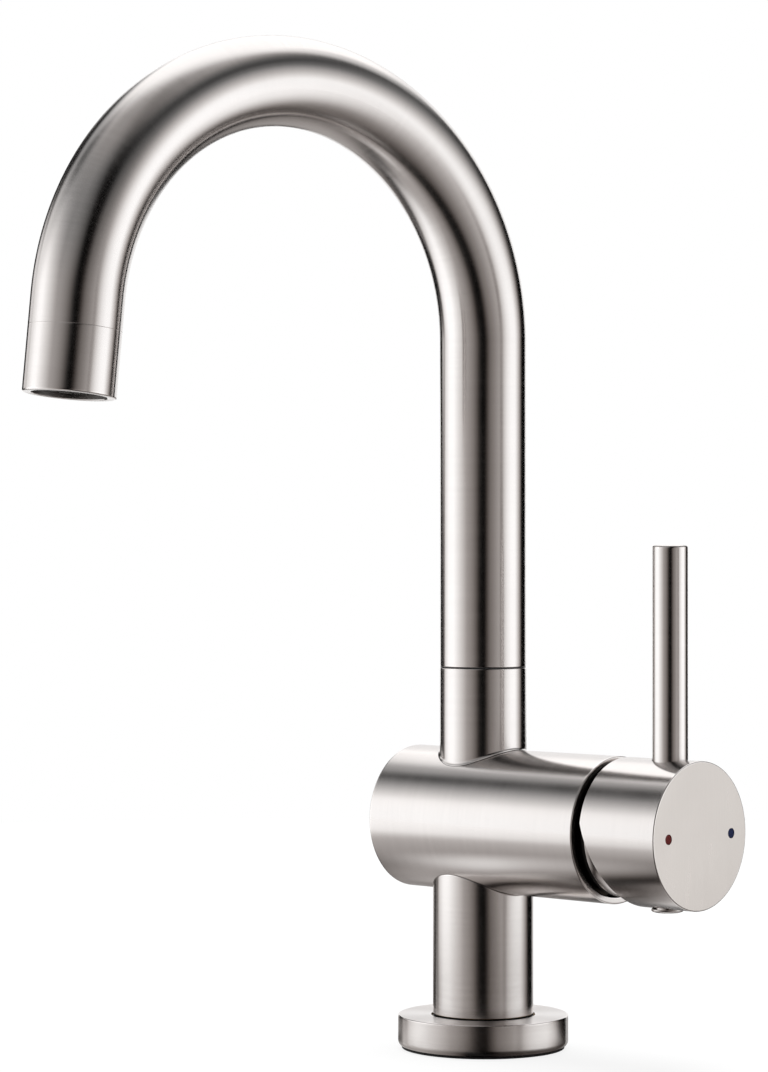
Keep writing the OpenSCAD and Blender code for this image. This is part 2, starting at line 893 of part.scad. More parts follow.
module pivot_pin() {
    color(steel_dark)
        translate([pivot_x, 0, barrel_axis_h])
            rotate([90, 0, 0])
                cylinder(h = 2 * rotor_r - 2, d = pivot_pin_d, center = true);
}

// At rest the disc lies half its travel below the axis, and both inlets are covered.
module moving_ceramic_disc() {
    color(ceramic)
        along_barrel(moving_disc_x)
            translate([-disc_travel / 2, 0, 0])
                difference() {
                    cylinder(h = ceramic_t, r = moving_r);
                    translate([-disc_window_off, 0, -over])
                        cylinder(h = 2 + over, r = disc_window_r);
                    translate([0, 0, ceramic_t - 1.5])
                        disc_lugs(seat_fit, 1.5 + over);
                }
}

// Lugs of the carrier that drive the disc.
module disc_lugs(clearance, h) {
    for (side = [-1, 1])
        translate([0, side * (moving_r - 0.4), 0])
            cylinder(h = h, r = 1.7 + clearance, $fn = 48);
}

module disc_carrier() {
    pocket_w = ball_d + 2 * (run_gap - 0.05);
    color(black_plastic)
        difference() {
            along_barrel(carrier_x)
                translate([-disc_travel / 2, 0, 0]) {
                    cylinder(h = carrier_t, r = moving_r);
                    intersection() {
                        translate([0, 0, -1.3])
                            disc_lugs(0, 1.3 + carrier_t);
                        translate([0, 0, -1.3])
                            cylinder(h = 1.3 + carrier_t, r = moving_r);
                    }
                    translate([-carrier_boss_l / 2 + 0.4, -carrier_boss_w / 2, 0])
                        cube([carrier_boss_l, carrier_boss_w, carrier_t + boss_h]);
                }
            translate([pivot_x - ball_arm - ball_d / 2 - run_gap, -pocket_w / 2 - 0.2, barrel_axis_h - pocket_w / 2])
                cube([ball_arm, pocket_w + 0.4, pocket_w]);
        }
}

// A rocking lever: ball end inside the cartridge, hub on the pin, square peg outside.
module cartridge_lever() {
    hub_r = peg_w / 2 + 1.1;
    color(steel_dark)
        difference() {
            union() {
                translate([pivot_x, 0, barrel_axis_h])
                    rotate([90, 0, 0])
                        cylinder(h = peg_w + 0.2, r = hub_r, center = true);
                translate([pivot_x, -peg_w / 2, barrel_axis_h - peg_w / 2])
                    cube([peg_end_x - pivot_x, peg_w, peg_w]);
                along_barrel(pivot_x - ball_arm)
                    cylinder(h = ball_arm - 2, r = ball_d / 2 - 0.9);
                translate([pivot_x - ball_arm, 0, barrel_axis_h])
                    sphere(d = ball_d, $fn = 48);
            }
            translate([pivot_x, 0, barrel_axis_h])
                rotate([90, 0, 0])
                    cylinder(h = peg_w + 2, d = pivot_pin_d + 2 * turn_fit, center = true);
        }
}

// Everything below this slanting line is cut away from the handle's rear.
module tilt_cut() {
    depth = handle_r + over;
    across_barrel(2 * handle_d)
        translate([handle_x, 0])
            polygon([
                [-over, cut_start + over / tan(cut_angle)],
                [-over, -depth],
                [(cut_start + depth) * tan(cut_angle), -depth]
            ]);
}

module handle_shell() {
    web_w = lever_d + 3;
    color(steel)
        difference() {
            along_barrel(handle_x)
                bevelled_ring(handle_r, 0, handle_len, 0, edge_bevel);
            // The cup that runs over the cover ring
            along_barrel(handle_x - over)
                cylinder(h = socket_x - handle_x + over, r = handle_in_r);
            // Two pockets beside the web that holds the lever pin and the screw
            difference() {
                along_barrel(socket_x - over)
                    cylinder(h = inner_face_x - socket_x + over, r = handle_in_r);
                across_barrel(web_w)
                    translate([socket_x, -handle_r])
                        square([face_x - socket_x, handle_d]);
            }
            // The socket for the square peg
            translate([socket_x - over, -peg_w / 2 - seat_fit, barrel_axis_h - peg_w / 2 - seat_fit])
                cube([peg_end_x - socket_x + over + 0.3, peg_w + 2 * seat_fit, peg_w + 2 * seat_fit]);
            // The lever pin's seat and thread
            translate([lever_x, 0, barrel_axis_h + lever_seat_up])
                cylinder(h = handle_r, d = lever_d);
            translate([lever_x, 0, barrel_axis_h + lever_thread_up])
                cylinder(h = handle_r, d = lever_thread_d);
            // The screw's thread and the plug's seat
            translate([grub_x, 0, barrel_axis_h - handle_r - over])
                cylinder(h = handle_r + over, d = grub_d);
            translate([grub_x, 0, barrel_axis_h - handle_r - over])
                cylinder(h = plug_stem_h + over, r = grub_d / 2 + 0.8);
            for (side = [-1, 1])
                along_barrel(face_x - dot_t)
                    translate([0, side * dot_offset, 0])
                        cylinder(h = dot_t + over, d = dot_d, $fn = 48);
            tilt_cut();
        }
}

lever_seat_up = handle_r - 1.6;
lever_thread_up = 10.8;
plug_stem_h = 5.5;
dot_t = 1.2;

module lever_pin() {
    length = lever_top_h - barrel_axis_h - lever_seat_up;
    bevel = 2 * edge_bevel;
    color(steel)
        translate([lever_x, 0, barrel_axis_h + lever_seat_up])
            turned([
                [0, lever_thread_up - lever_seat_up + 0.2],
                [lever_thread_d / 2, lever_thread_up - lever_seat_up + 0.2],
                [lever_thread_d / 2, 0],
                [lever_d / 2, 0],
                [lever_d / 2, length - bevel],
                [lever_d / 2 - bevel, length],
                [0, length]
            ]);
}

module grub_screw() {
    tip = barrel_axis_h - peg_w / 2;
    color(steel_dark)
        translate([grub_x, 0, tip - grub_l])
            difference() {
                cylinder(h = grub_l, d = grub_d, $fn = 48);
                translate([0, 0, -over])
                    cylinder(h = grub_hex_h + over, d = grub_d / 2, $fn = 6);
            }
}

module grub_screw_plug() {
    head_t = 1.3;
    stem_r = grub_d / 2 + 0.8;
    head_r = plug_d / 2;
    color(steel)
        translate([grub_x, 0, barrel_axis_h - handle_r])
            turned(concat(
                [[0, plug_stem_h - 0.2], [0, -head_t]],
                [
                    for (i = [1:8])
                        let (a = 90 - 11.25 * i)
                            [head_r * cos(a), -head_t * 0.4 - head_t * 0.6 * sin(a)]
                ],
                [[head_r, 0], [stem_r, 0], [stem_r, plug_stem_h - 0.2]]
            ));
}

module index_dot(side) {
    along_barrel(face_x - dot_t)
        translate([0, side * dot_offset, 0])
            cylinder(h = dot_t, d = dot_d, $fn = 48);
}

module hot_dot() {
    color(hot_red)
        index_dot(1);
}

module cold_dot() {
    color(cold_blue)
        index_dot(-1);
}

base_gasket();
base_rosette();
column_foot();
lower_column();
hot_riser_tube();
cold_riser_tube();
barrel();
barrel_end_cap();
waterway_core();
spout_neck();
spout_set_screw();
slip_ring();
cartridge_base();
base_seals();
port_seals();
fixed_ceramic_disc();
cartridge_housing();
cartridge_nut();
cover_ring();
spout_tube();
spout_spigot();
spigot_seals();
outlet_sleeve();
aerator_washer();
aerator_housing();
aerator_diffuser();
aerator_grille();
cartridge_rotor();
pivot_pin();
moving_ceramic_disc();
disc_carrier();
cartridge_lever();
handle_shell();
lever_pin();
grub_screw();
grub_screw_plug();
hot_dot();
cold_dot();
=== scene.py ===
"""Visual model of a single-lever basin mixer tap with a swivelling gooseneck spout.

Every size is in millimetres until a mesh is made, and every mesh is in metres in the
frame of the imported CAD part: +Z is up, +X runs along the barrel to the handle and -Y
points to the user.
"""

from __future__ import annotations

import logging
import math
from dataclasses import dataclass
from enum import Enum
from typing import Callable, Sequence

import bmesh
import bpy
import numpy as np
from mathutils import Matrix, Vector

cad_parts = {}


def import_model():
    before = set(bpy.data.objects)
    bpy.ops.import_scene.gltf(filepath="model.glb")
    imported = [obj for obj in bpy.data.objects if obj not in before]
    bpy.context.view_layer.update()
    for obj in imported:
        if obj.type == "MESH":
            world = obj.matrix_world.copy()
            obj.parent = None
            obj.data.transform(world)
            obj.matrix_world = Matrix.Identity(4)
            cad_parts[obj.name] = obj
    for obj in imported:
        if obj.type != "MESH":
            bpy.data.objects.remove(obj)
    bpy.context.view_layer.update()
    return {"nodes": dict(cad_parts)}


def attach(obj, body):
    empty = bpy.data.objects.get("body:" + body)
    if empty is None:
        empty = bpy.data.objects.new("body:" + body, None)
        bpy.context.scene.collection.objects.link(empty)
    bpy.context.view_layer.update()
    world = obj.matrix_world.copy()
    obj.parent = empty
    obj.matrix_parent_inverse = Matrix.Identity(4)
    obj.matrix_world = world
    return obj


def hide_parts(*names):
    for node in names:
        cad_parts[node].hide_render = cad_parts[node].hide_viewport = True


LOG = logging.getLogger("basin_mixer")

MM = 0.001
SEGMENTS = 160
FINE_SEGMENTS = 192
CREASE = 32.0
NOISE_LOW, NOISE_HIGH = 0.3, 0.7
# Rounded edges: real polish from wear, plus a painted highlight that lightens their colour.
WEAR_AND_HIGHLIGHT_SHARE, WEAR_AND_HIGHLIGHT_GAIN, WORN_SHINE = 0.45, 1.18, 0.04
WHITE = (1.0, 1.0, 1.0, 1.0)
UP, RIGHT, BACK = (0.0, 0.0, 1.0), (1.0, 0.0, 0.0), (0.0, 1.0, 0.0)

# The barrel's sizes, which every sub-assembly goes by.
AXIS_H = 66.8
BARREL_R = 21.0

Triple = tuple[float, float, float]
Triples = tuple[Triple, ...]
Row = tuple[float, float | np.ndarray, float]
Piece, Mesh, Face = bpy.types.Object, bpy.types.Mesh, bpy.types.MeshPolygon
Node, Socket = bpy.types.Node, bpy.types.NodeSocket


class Body(Enum):
    """The rigid bodies of the tap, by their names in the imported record."""

    FIXED = "root"
    SPOUT = "spout"
    HANDLE = "handle"


class GrainSource(Enum):
    """Where a finish reads the direction of its grain from."""

    MADE = "made"
    PACKED = "packed"


@dataclass(frozen=True)
class Place:
    """Where a turned piece stands: a point on its axis and its directions.

    Attributes:
        origin: The point that heights are counted from, in millimetres.
        axis: The direction of the turning axis.
        side: The direction of angle zero, square to the axis.
    """

    origin: Triple
    axis: Triple
    side: Triple

    @property
    def quarter(self) -> np.ndarray:
        """The direction of a quarter turn."""
        return np.cross(self.axis, self.side)

    def point(self, radius: np.ndarray, angle: np.ndarray, height: np.ndarray) -> np.ndarray:
        """Turns cylindrical coordinates into points.

        Args:
            radius: Distances from the axis.
            angle: Angles around the axis, in radians.
            height: Distances along the axis.

        Returns:
            The points, in millimetres.
        """
        radius, angle, height = np.broadcast_arrays(radius, angle, height)
        return (
            np.array(self.origin)
            + (radius * np.cos(angle))[..., None] * self.side
            + (radius * np.sin(angle))[..., None] * self.quarter
            + height[..., None] * self.axis
        )

    def around(self, angle: np.ndarray) -> np.ndarray:
        """Gives the direction around the axis at each angle."""
        return -np.sin(angle)[..., None] * self.side + np.cos(angle)[..., None] * self.quarter


def upright(height: float = 0.0, x: float = 0.0) -> Place:
    """Places a piece upright, at a height and a distance towards the handle."""
    return Place((x, 0.0, height), UP, RIGHT)


def along_barrel(x: float = 0.0, y: float = 0.0) -> Place:
    """Places a piece along the barrel, with angle zero straight up."""
    return Place((x, y, AXIS_H), RIGHT, UP)


def circle_angles(count: int = SEGMENTS) -> np.ndarray:
    """Gives evenly spaced angles for one turn, without repeating the first."""
    return np.arange(count) * (2.0 * math.pi / count)


def saddle(radius: float, angle: np.ndarray, side: float, away: float) -> np.ndarray:
    """Gives heights on the barrel's surface around an upright circle.

    Args:
        radius: The circle's radius.
        angle: Angles around the circle.
        side: 1 for the barrel's top, -1 for its underside.
        away: Distance off the surface.

    Returns:
        The heights.
    """
    across = radius * np.sin(angle)
    return AXIS_H + side * (np.sqrt(BARREL_R**2 - across**2) + away)


def plain_ring(inner: float, outer: float, low: float, high: float, soft: float) -> list[Triple]:
    """Gives the corners of a flat ring, of which the outer two are rounded."""
    return [(inner, low, 0.0), (outer, low, soft), (outer, high, soft), (inner, high, 0.0)]


def rounded(
    corners: Sequence[Triple], closed: bool = True, steps: int = 4, ease: float = 0.35
) -> list[Triple]:
    """Rounds the corners of an outline and sets support points beside them.

    Args:
        corners: Corners as (radius, height, rounding radius).
        closed: Whether the last corner joins the first.
        steps: Number of short lines in each rounded corner.
        ease: Distance of the support points from a rounded corner.

    Returns:
        The outline as (radius, height, edge), where edge is 1 on a rounded corner.
    """
    out: list[Triple] = []
    count = len(corners)
    for i, (x, y, r) in enumerate(corners):
        if r <= 0.0 or (not closed and i in (0, count - 1)):
            out.append((x, y, 0.0))
            continue
        here = np.array([x, y])
        before = np.array(corners[i - 1][:2]) - here
        after = np.array(corners[(i + 1) % count][:2]) - here
        len_a, len_b = np.linalg.norm(before), np.linalg.norm(after)
        a, b = before / len_a, after / len_b
        half = math.acos(float(np.clip(a @ b, -1.0, 1.0))) / 2.0
        cut = min(r / math.tan(half), 0.49 * len_a, 0.49 * len_b)
        radius = cut * math.tan(half)
        centre = here + (a + b) / np.linalg.norm(a + b) * (radius / math.sin(half))
        start, end = here + a * cut, here + b * cut
        if len_a > cut + 2.0 * ease:
            out.append((*(start + a * ease), 0.0))
        first = math.atan2(*(start - centre)[::-1])
        sweep = math.atan2(*(end - centre)[::-1]) - first
        sweep = (sweep + math.pi) % (2.0 * math.pi) - math.pi
        for k in range(steps + 1):
            turn = first + sweep * k / steps
            out.append((*(centre + radius * np.array([math.cos(turn), math.sin(turn)])), 1.0))
        if len_b > cut + 2.0 * ease:
            out.append((*(end + b * ease), 0.0))
    return out


def lengths_along(points: np.ndarray) -> np.ndarray:
    """Gives each point's distance along a line of points."""
    steps = np.linalg.norm(np.diff(points, axis=0), axis=1)
    return np.concatenate([[0.0], np.cumsum(steps)])


def net_faces(index: np.ndarray) -> np.ndarray:
    """Gives the four point numbers of each face in a net of point numbers."""
    return np.stack([index[:-1, :-1], index[:-1, 1:], index[1:, 1:], index[1:, :-1]], axis=-1)


def store_vectors(mesh: Mesh, name: str, values: np.ndarray) -> None:
    """Stores a vector for each vertex under a name that materials read."""
    layer = mesh.attributes.new(name, "FLOAT_VECTOR", "POINT")
    layer.data.foreach_set("vector", np.ascontiguousarray(values, np.float32).ravel())


def smooth(mesh: Mesh, sharp: float = CREASE) -> None:
    """Shades a mesh smooth, but for edges above an angle in degrees."""
    mesh.shade_smooth()
    mesh.set_sharp_from_angle(angle=math.radians(sharp))


def add_object(name: str, data: bpy.types.ID) -> Piece:
    """Puts a mesh, a camera or a light into the scene under a name."""
    piece = bpy.data.objects.new(name, data)
    bpy.context.scene.collection.objects.link(piece)
    return piece


def loft(
    name: str,
    rings: np.ndarray,
    grain: np.ndarray,
    lay: np.ndarray,
    edge: np.ndarray,
    closed: bool = True,
) -> Piece:
    """Joins rings of points into one smooth skin that faces outwards.

    Args:
        name: Name of the new piece.
        rings: Points in millimetres, as rings by points by three.
        grain: Distances in millimetres that the grain is drawn from, of the same shape.
        lay: Direction of the brushing at each point, of the same shape.
        edge: How much each point lies on a rounded edge, as rings by points.
        closed: Whether the last ring joins the first.

    Returns:
        The new piece.
    """
    index = np.arange(edge.size).reshape(edge.shape)
    faces = net_faces(np.pad(index, ((0, int(closed)), (0, 1)), "wrap"))
    mesh = bpy.data.meshes.new(name)
    mesh.from_pydata((rings.reshape(-1, 3) * MM).tolist(), [], faces.reshape(-1, 4).tolist())
    store_vectors(mesh, "grain", grain.reshape(-1, 3) * MM)
    store_vectors(mesh, "lay", lay.reshape(-1, 3))
    wear_and_highlight = mesh.attributes.new("edge", "FLOAT", "POINT")
    wear_and_highlight.data.foreach_set("value", np.ascontiguousarray(edge, np.float32).ravel())
    work = bmesh.new()
    work.from_mesh(mesh)
    bmesh.ops.remove_doubles(work, verts=work.verts, dist=1e-7)
    bmesh.ops.dissolve_degenerate(work, edges=work.edges, dist=1e-8)
    bmesh.ops.recalc_face_normals(work, faces=work.faces)
    work.to_mesh(mesh)
    work.free()
    smooth(mesh)
    return add_object(name, mesh)


def skin(
    name: str,
    rows: Sequence[Row],
    angle: np.ndarray,
    place: Place,
    closed: bool = True,
    along: np.ndarray | None = None,
) -> Piece:
    """Skins rings around an axis, with a grain that runs around it.

    Args:
        name: Name of the new piece.
        rows: Rings as (radius, height or heights around the ring, edge).
        angle: Angles of the points in a ring.
        place: The axis and where heights start.
        closed: Whether the last ring joins the first.
        along: Where each ring lies across the grain, or None to go by the heights.

    Returns:
        The new piece.
    """
    shape = (len(rows), len(angle))
    radii, edge = (np.array([row[i] for row in rows])[:, None] for i in (0, 2))
    heights = np.array([np.broadcast_to(row[1], angle.shape) for row in rows])
    across = heights if along is None else np.broadcast_to(along[:, None], shape)
    grain = np.stack([across, radii * np.cos(angle), radii * np.sin(angle)], axis=-1)
    lay = np.broadcast_to(place.around(angle), (*shape, 3))
    rings = place.point(radii, angle, heights)
    return loft(name, rings, grain, lay, np.broadcast_to(edge, shape), closed)


def turned(
    name: str,
    outline: Sequence[Triple],
    place: Place,
    closed: bool = True,
    segments: int = SEGMENTS,
) -> Piece:
    """Turns an outline around an axis, as on a lathe.

    Args:
        name: Name of the new piece.
        outline: Points as (radius, height, edge).
        place: The axis and where heights start.
        closed: Whether the outline's last point joins its first.
        segments: Number of flats in one turn.

    Returns:
        The new piece.
    """
    along = lengths_along(np.array(outline, float)[:, :2])
    return skin(name, outline, circle_angles(segments), place, closed, along)


def drill(
    name: str, place: Place, radius: float, start: float, end: float, segments: int = 64
) -> Piece:
    """Makes the solid that a drill takes away.

    Args:
        name: Name of the new solid.
        place: The drill's axis.
        radius: The drill's radius.
        start: Where the hole starts along the axis.
        end: Where it ends.
        segments: Number of flats in one turn.

    Returns:
        The new solid.
    """
    outline = [(0.0, start, 0.0), (radius, start, 0.0), (radius, end, 0.0), (0.0, end, 0.0)]
    return turned(name, outline, place, False, segments)


def cut_away(piece: Piece, cutters: Sequence[Piece]) -> None:
    """Cuts other solids out of a piece and removes them.

    Args:
        piece: The piece that is cut.
        cutters: The solids to take away.
    """
    for cutter in cutters:
        step = piece.modifiers.new("cut", "BOOLEAN")
        step.operation = "DIFFERENCE"
        step.solver = "EXACT"
        step.object = cutter
    graph = bpy.context.evaluated_depsgraph_get()
    made = bpy.data.meshes.new_from_object(piece.evaluated_get(graph), depsgraph=graph)
    piece.modifiers.clear()
    piece.data = made
    for cutter in cutters:
        bpy.data.objects.remove(cutter, do_unlink=True)
    smooth(made)


def shade_as_cylinder(piece: Piece, place: Place, radius: float) -> None:
    """Gives the corners on a cylinder's surface that cylinder's own normals.

    Args:
        piece: The piece whose mesh is shaded.
        place: The cylinder's axis.
        radius: The cylinder's radius, in millimetres.
    """
    near, alike = 2e-5, 0.97
    centre, axis = Vector([c * MM for c in place.origin]), Vector(place.axis)
    mesh = piece.data
    normals = [Vector(corner.vector) for corner in mesh.corner_normals]
    for face in mesh.polygons:
        for corner in face.loop_indices:
            point = mesh.vertices[mesh.loops[corner].vertex_index].co - centre
            outward = point - axis * point.dot(axis)
            if abs(outward.length - radius * MM) > near:
                continue
            outward.normalize()
            if face.normal.dot(outward) > alike:
                normals[corner] = outward
    mesh.normals_split_custom_set(normals)


class Nodes:
    """A short way to build a material's node tree."""

    def __init__(self, tree: bpy.types.NodeTree) -> None:
        """Starts with an empty tree."""
        self.tree = tree
        tree.nodes.clear()

    def add(self, kind: str, settings: dict | None = None, **inputs: object) -> Node:
        """Adds a node.

        Args:
            kind: The node's type name.
            settings: Properties to set on the node.
            **inputs: Values or sockets for its inputs, by name with _ for a space.

        Returns:
            The new node.
        """
        node = self.tree.nodes.new(kind)
        for key, value in (settings or {}).items():
            setattr(node, key, value)
        self.plug(node, **inputs)
        return node

    def plug(self, node: Node, *values: object, **inputs: object) -> None:
        """Sets a node's inputs to values, or links sockets to them.

        Args:
            node: The node.
            *values: Values or sockets for its first inputs, in order.
            **inputs: Values or sockets by the input's name, with _ for a space.
        """
        named = {key.replace("_", " "): value for key, value in inputs.items()}
        for key, value in (*enumerate(values), *named.items()):
            if isinstance(value, Socket):
                self.tree.links.new(value, node.inputs[key])
            else:
                node.inputs[key].default_value = value

    def run(self, kind: str, settings: dict, *values: object) -> Socket:
        """Adds a node with its inputs in order and returns its first output."""
        node = self.add(kind, settings)
        self.plug(node, *values)
        return node.outputs[0]

    def math(self, operation: str, *values: object) -> Socket:
        """Adds a math node and returns its result."""
        return self.run("ShaderNodeMath", {"operation": operation}, *values)

    def attribute(self, name: str, output: str) -> Socket:
        """Reads one of a mesh's stored attributes."""
        return self.add("ShaderNodeAttribute", {"attribute_name": name}).outputs[output]

    def blend(self, amount: Socket, low: Socket | Triple, high: Socket | Triple) -> Socket:
        """Mixes two colours, each a socket or a plain colour, and returns the result."""
        node = self.add("ShaderNodeMix", {"data_type": "RGBA"})
        for key, value in ((0, amount), (6, low), (7, high)):
            if isinstance(value, Socket):
                self.tree.links.new(value, node.inputs[key])
            else:
                node.inputs[key].default_value = (*value, 1.0)
        return node.outputs[2]

    def spread(self, value: object, low: float, high: float) -> Socket:
        """Spreads the usual range of a noise over another range."""
        ends = (NOISE_LOW, NOISE_HIGH, low, high)
        return self.run("ShaderNodeMapRange", {"clamp": True}, value, *ends)

    def noise(self, vector: object, scale: float, detail: float, rough: float) -> Socket:
        """Adds a noise texture and returns its value."""
        inputs = {"Vector": vector, "Scale": scale, "Detail": detail, "Roughness": rough}
        return self.add("ShaderNodeTexNoise", None, **inputs).outputs[0]

    def scaled(self, vector: object, scale: Triple) -> Socket:
        """Stretches a vector and returns the result."""
        return self.run("ShaderNodeVectorMath", {"operation": "MULTIPLY"}, vector, scale)

    def bump(self, strength: float, depth: float, height: object) -> Socket:
        """Gives the surface a relief of a depth in millimetres."""
        inputs = {"Strength": strength, "Distance": depth * MM, "Height": height}
        return self.add("ShaderNodeBump", None, **inputs).outputs[0]

    def mixed(self, share: object, first: object, second: object) -> Socket:
        """Mixes two shaders and returns the result."""
        return self.run("ShaderNodeMixShader", {}, share, first, second)

    def white_share(self, share: float) -> Socket:
        """Gives a share of white to the camera, metal and glass, and none to matt surfaces."""
        rays = self.add("ShaderNodeLightPath")
        seen = self.math("ADD", rays.outputs["Is Camera Ray"], rays.outputs["Is Glossy Ray"])
        seen = self.math("ADD", seen, rays.outputs["Is Transmission Ray"])
        return self.math("MULTIPLY", self.math("MINIMUM", seen, 1.0), share)

    def show(self, surface: Socket, kind: str = "ShaderNodeOutputMaterial") -> None:
        """Ends the tree with an output that shows a shader."""
        self.plug(self.add(kind), surface)


def new_material(name: str) -> tuple[bpy.types.Material, Nodes]:
    """Makes an empty material and a builder for its nodes."""
    made = bpy.data.materials.new(name)
    made.use_nodes = True
    return made, Nodes(made.node_tree)


@dataclass(frozen=True)
class Finish:
    """What every surface finish has.

    Attributes:
        name: Name of the material.
        colour: The material's colour, linear.
        roughness: Mean roughness.
    """

    name: str
    colour: Triple
    roughness: float

    def material(self) -> bpy.types.Material:
        """Gives the material, made once and kept by its name."""
        kept = bpy.data.materials.get(self.name)
        if kept:
            return kept
        made, nodes = new_material(self.name)
        shader = nodes.add("ShaderNodeBsdfPrincipled")
        nodes.show(shader.outputs[0])
        self.build(nodes, shader)
        return made

    def tinted(self, factor: float) -> Triple:
        """Gives the colour, brighter or darker by a factor."""
        return tuple(min(c * factor, 1.0) for c in self.colour)

    def toned(self, nodes: Nodes, texture: Socket, tone: float) -> Socket:
        """Lets the colour follow a texture, by a share to either side."""
        return nodes.blend(texture, self.tinted(1.0 - tone), self.tinted(1.0 + tone))

    def rough(self, nodes: Nodes, texture: Socket, change: float) -> Socket:
        """Lets the roughness follow a texture, by a share to either side."""
        mean = self.roughness
        return nodes.spread(texture, mean * (1.0 - change), mean * (1.0 + change))

    def build(self, nodes: Nodes, shader: Node) -> None:
        """Plugs the finish's texture into a principled shader."""
        raise NotImplementedError


@dataclass(frozen=True)
class MetalFinish(Finish):
    """A metal surface with a fine brushed or machined grain.

    Attributes:
        stretch: How much the shine is drawn out across the grain, from 0 to 1.
        lines: Grain lines in a metre, across the grain.
        relief: Depth of the grain, in millimetres.
        tone: How much the colour changes along the grain.
        source: Whether the grain follows the piece's making or only its place.
    """

    stretch: float = 0.0
    lines: float = 2600.0
    relief: float = 0.004
    tone: float = 0.05
    source: GrainSource = GrainSource.MADE

    def build(self, nodes: Nodes, shader: Node) -> None:
        """Plugs the grain into a principled shader."""
        own_grain = self.source is GrainSource.MADE
        # Streaks in a metre, across and along the brushing: fine ones, then wide ones.
        if own_grain:
            place = nodes.attribute("grain", "Vector")
            across = nodes.scaled(place, (self.lines, 70.0, 70.0))
            wide = nodes.scaled(place, (self.lines * 0.22, 22.0, 22.0))
        else:
            place = nodes.add("ShaderNodeTexCoord").outputs["Object"]
            across = nodes.scaled(place, (260.0, 260.0, self.lines))
            wide = nodes.scaled(place, (60.0, 60.0, self.lines * 0.2))
        fine = nodes.math("MULTIPLY", nodes.noise(across, 1.0, 3.0, 0.6), 0.6)
        coarse = nodes.math("MULTIPLY", nodes.noise(wide, 1.0, 2.0, 0.55), 0.4)
        streak = nodes.math("ADD", fine, coarse)
        clouds = nodes.spread(nodes.noise(place, 55.0, 3.0, 0.55), -0.015, 0.015)
        colour = self.toned(nodes, nodes.spread(streak, 0.0, 1.0), self.tone)
        rough = nodes.math("ADD", self.rough(nodes, streak, 0.1), clouds)
        if own_grain:
            # Rounded edges get a lighter colour, a painted highlight besides their polish from
            # wear, and a little less roughness.
            edge = nodes.attribute("edge", "Fac")
            wear_and_highlight = nodes.math("MULTIPLY", edge, WEAR_AND_HIGHLIGHT_SHARE)
            colour = nodes.blend(wear_and_highlight, colour, self.tinted(WEAR_AND_HIGHLIGHT_GAIN))
            rough = nodes.math("SUBTRACT", rough, nodes.math("MULTIPLY", edge, WORN_SHINE))
        relief = nodes.bump(0.5, self.relief, streak)
        nodes.plug(shader, Base_Color=colour, Metallic=1.0, Roughness=rough, Normal=relief)
        if own_grain and self.stretch > 0.0:
            to_world = {"vector_type": "VECTOR", "convert_from": "OBJECT", "convert_to": "WORLD"}
            lay = nodes.run("ShaderNodeVectorTransform", to_world, nodes.attribute("lay", "Vector"))
            nodes.plug(shader, Tangent=lay, Anisotropic=self.stretch, Anisotropic_Rotation=0.25)


@dataclass(frozen=True)
class MouldedFinish(Finish):
    """A moulded plastic, rubber, ceramic or enamel surface.

    Attributes:
        speck: Size of the surface's texture, in millimetres.
        relief: Depth of the texture, in millimetres.
        coat: Weight of a clear gloss over it.
        tone: How much the colour changes over the surface.
        shine: Strength of its own gloss, where 0.5 is a usual plastic.
    """

    speck: float = 0.4
    relief: float = 0.01
    coat: float = 0.0
    tone: float = 0.08
    shine: float = 0.5

    def build(self, nodes: Nodes, shader: Node) -> None:
        """Plugs the specks into a principled shader."""
        place = nodes.add("ShaderNodeTexCoord").outputs["Object"]
        specks = nodes.noise(place, 1.0 / (self.speck * MM), 3.0, 0.6)
        clouds = nodes.noise(place, 90.0, 2.0, 0.5)
        nodes.plug(
            shader,
            Base_Color=self.toned(nodes, clouds, self.tone),
            Roughness=self.rough(nodes, specks, 0.12),
            Normal=nodes.bump(0.6, self.relief, specks),
            Coat_Weight=self.coat,
            Coat_Roughness=0.08,
            Specular_IOR_Level=self.shine,
        )


@dataclass(frozen=True)
class MachinedFinish(MetalFinish):
    """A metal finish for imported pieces, with its grain drawn by their place."""

    source: GrainSource = GrainSource.PACKED


STEEL = (0.737, 0.70, 0.682)
# The handle's face takes a darker copy of the steel's colour as painted shade; its brushing is its
# own.
FACE_SHADED_COLOUR = (0.66, 0.615, 0.582)
SATIN_STEEL = MetalFinish("satin_steel_brushed", STEEL, 0.20, 0.8, 2600.0, 0.0016, 0.035)
TOP_STEEL = MetalFinish("satin_steel_turned_top", STEEL, 0.32, 0.9, 2000.0, 0.0016, 0.03)
FACE_SHADED_STEEL = MetalFinish("satin_steel_face_shaded", FACE_SHADED_COLOUR, 0.30, 0.6, 1500.0, 0.0016, 0.03)
# Black steel that paints shade: the column's foot groove, the neck's foot and the cover ring in the
# handle's gap.
PAINTED_SHADE_STEEL = MetalFinish("painted_shade_black_steel", (0.02, 0.019, 0.018), 0.5, 0.0, 1400.0)
BORE_SHADE_STEEL = MetalFinish("bore_steel_painted_shade", (0.16, 0.15, 0.145), 0.38, 0.5, 900.0)
INNER_STEEL = MachinedFinish("machined_steel_inner", (0.50, 0.48, 0.46), 0.34, 0.0, 1800.0, 0.01)
OUTLET_SHADE_DARK_STEEL = MachinedFinish("dark_ring_painted_shade", (0.14, 0.135, 0.13), 0.22, 0.0, 1600.0, 0.002)
NUT_SHADE_DARK_BRASS = MachinedFinish(
    "brass_darkened_as_shade", (0.055, 0.045, 0.036), 0.42, 0.0, 1500.0, 0.012
)
MACHINED_BRASS = MachinedFinish(
    "machined_brass", (0.66, 0.47, 0.20), 0.32, 0.0, 1500.0, 0.012, 0.09
)
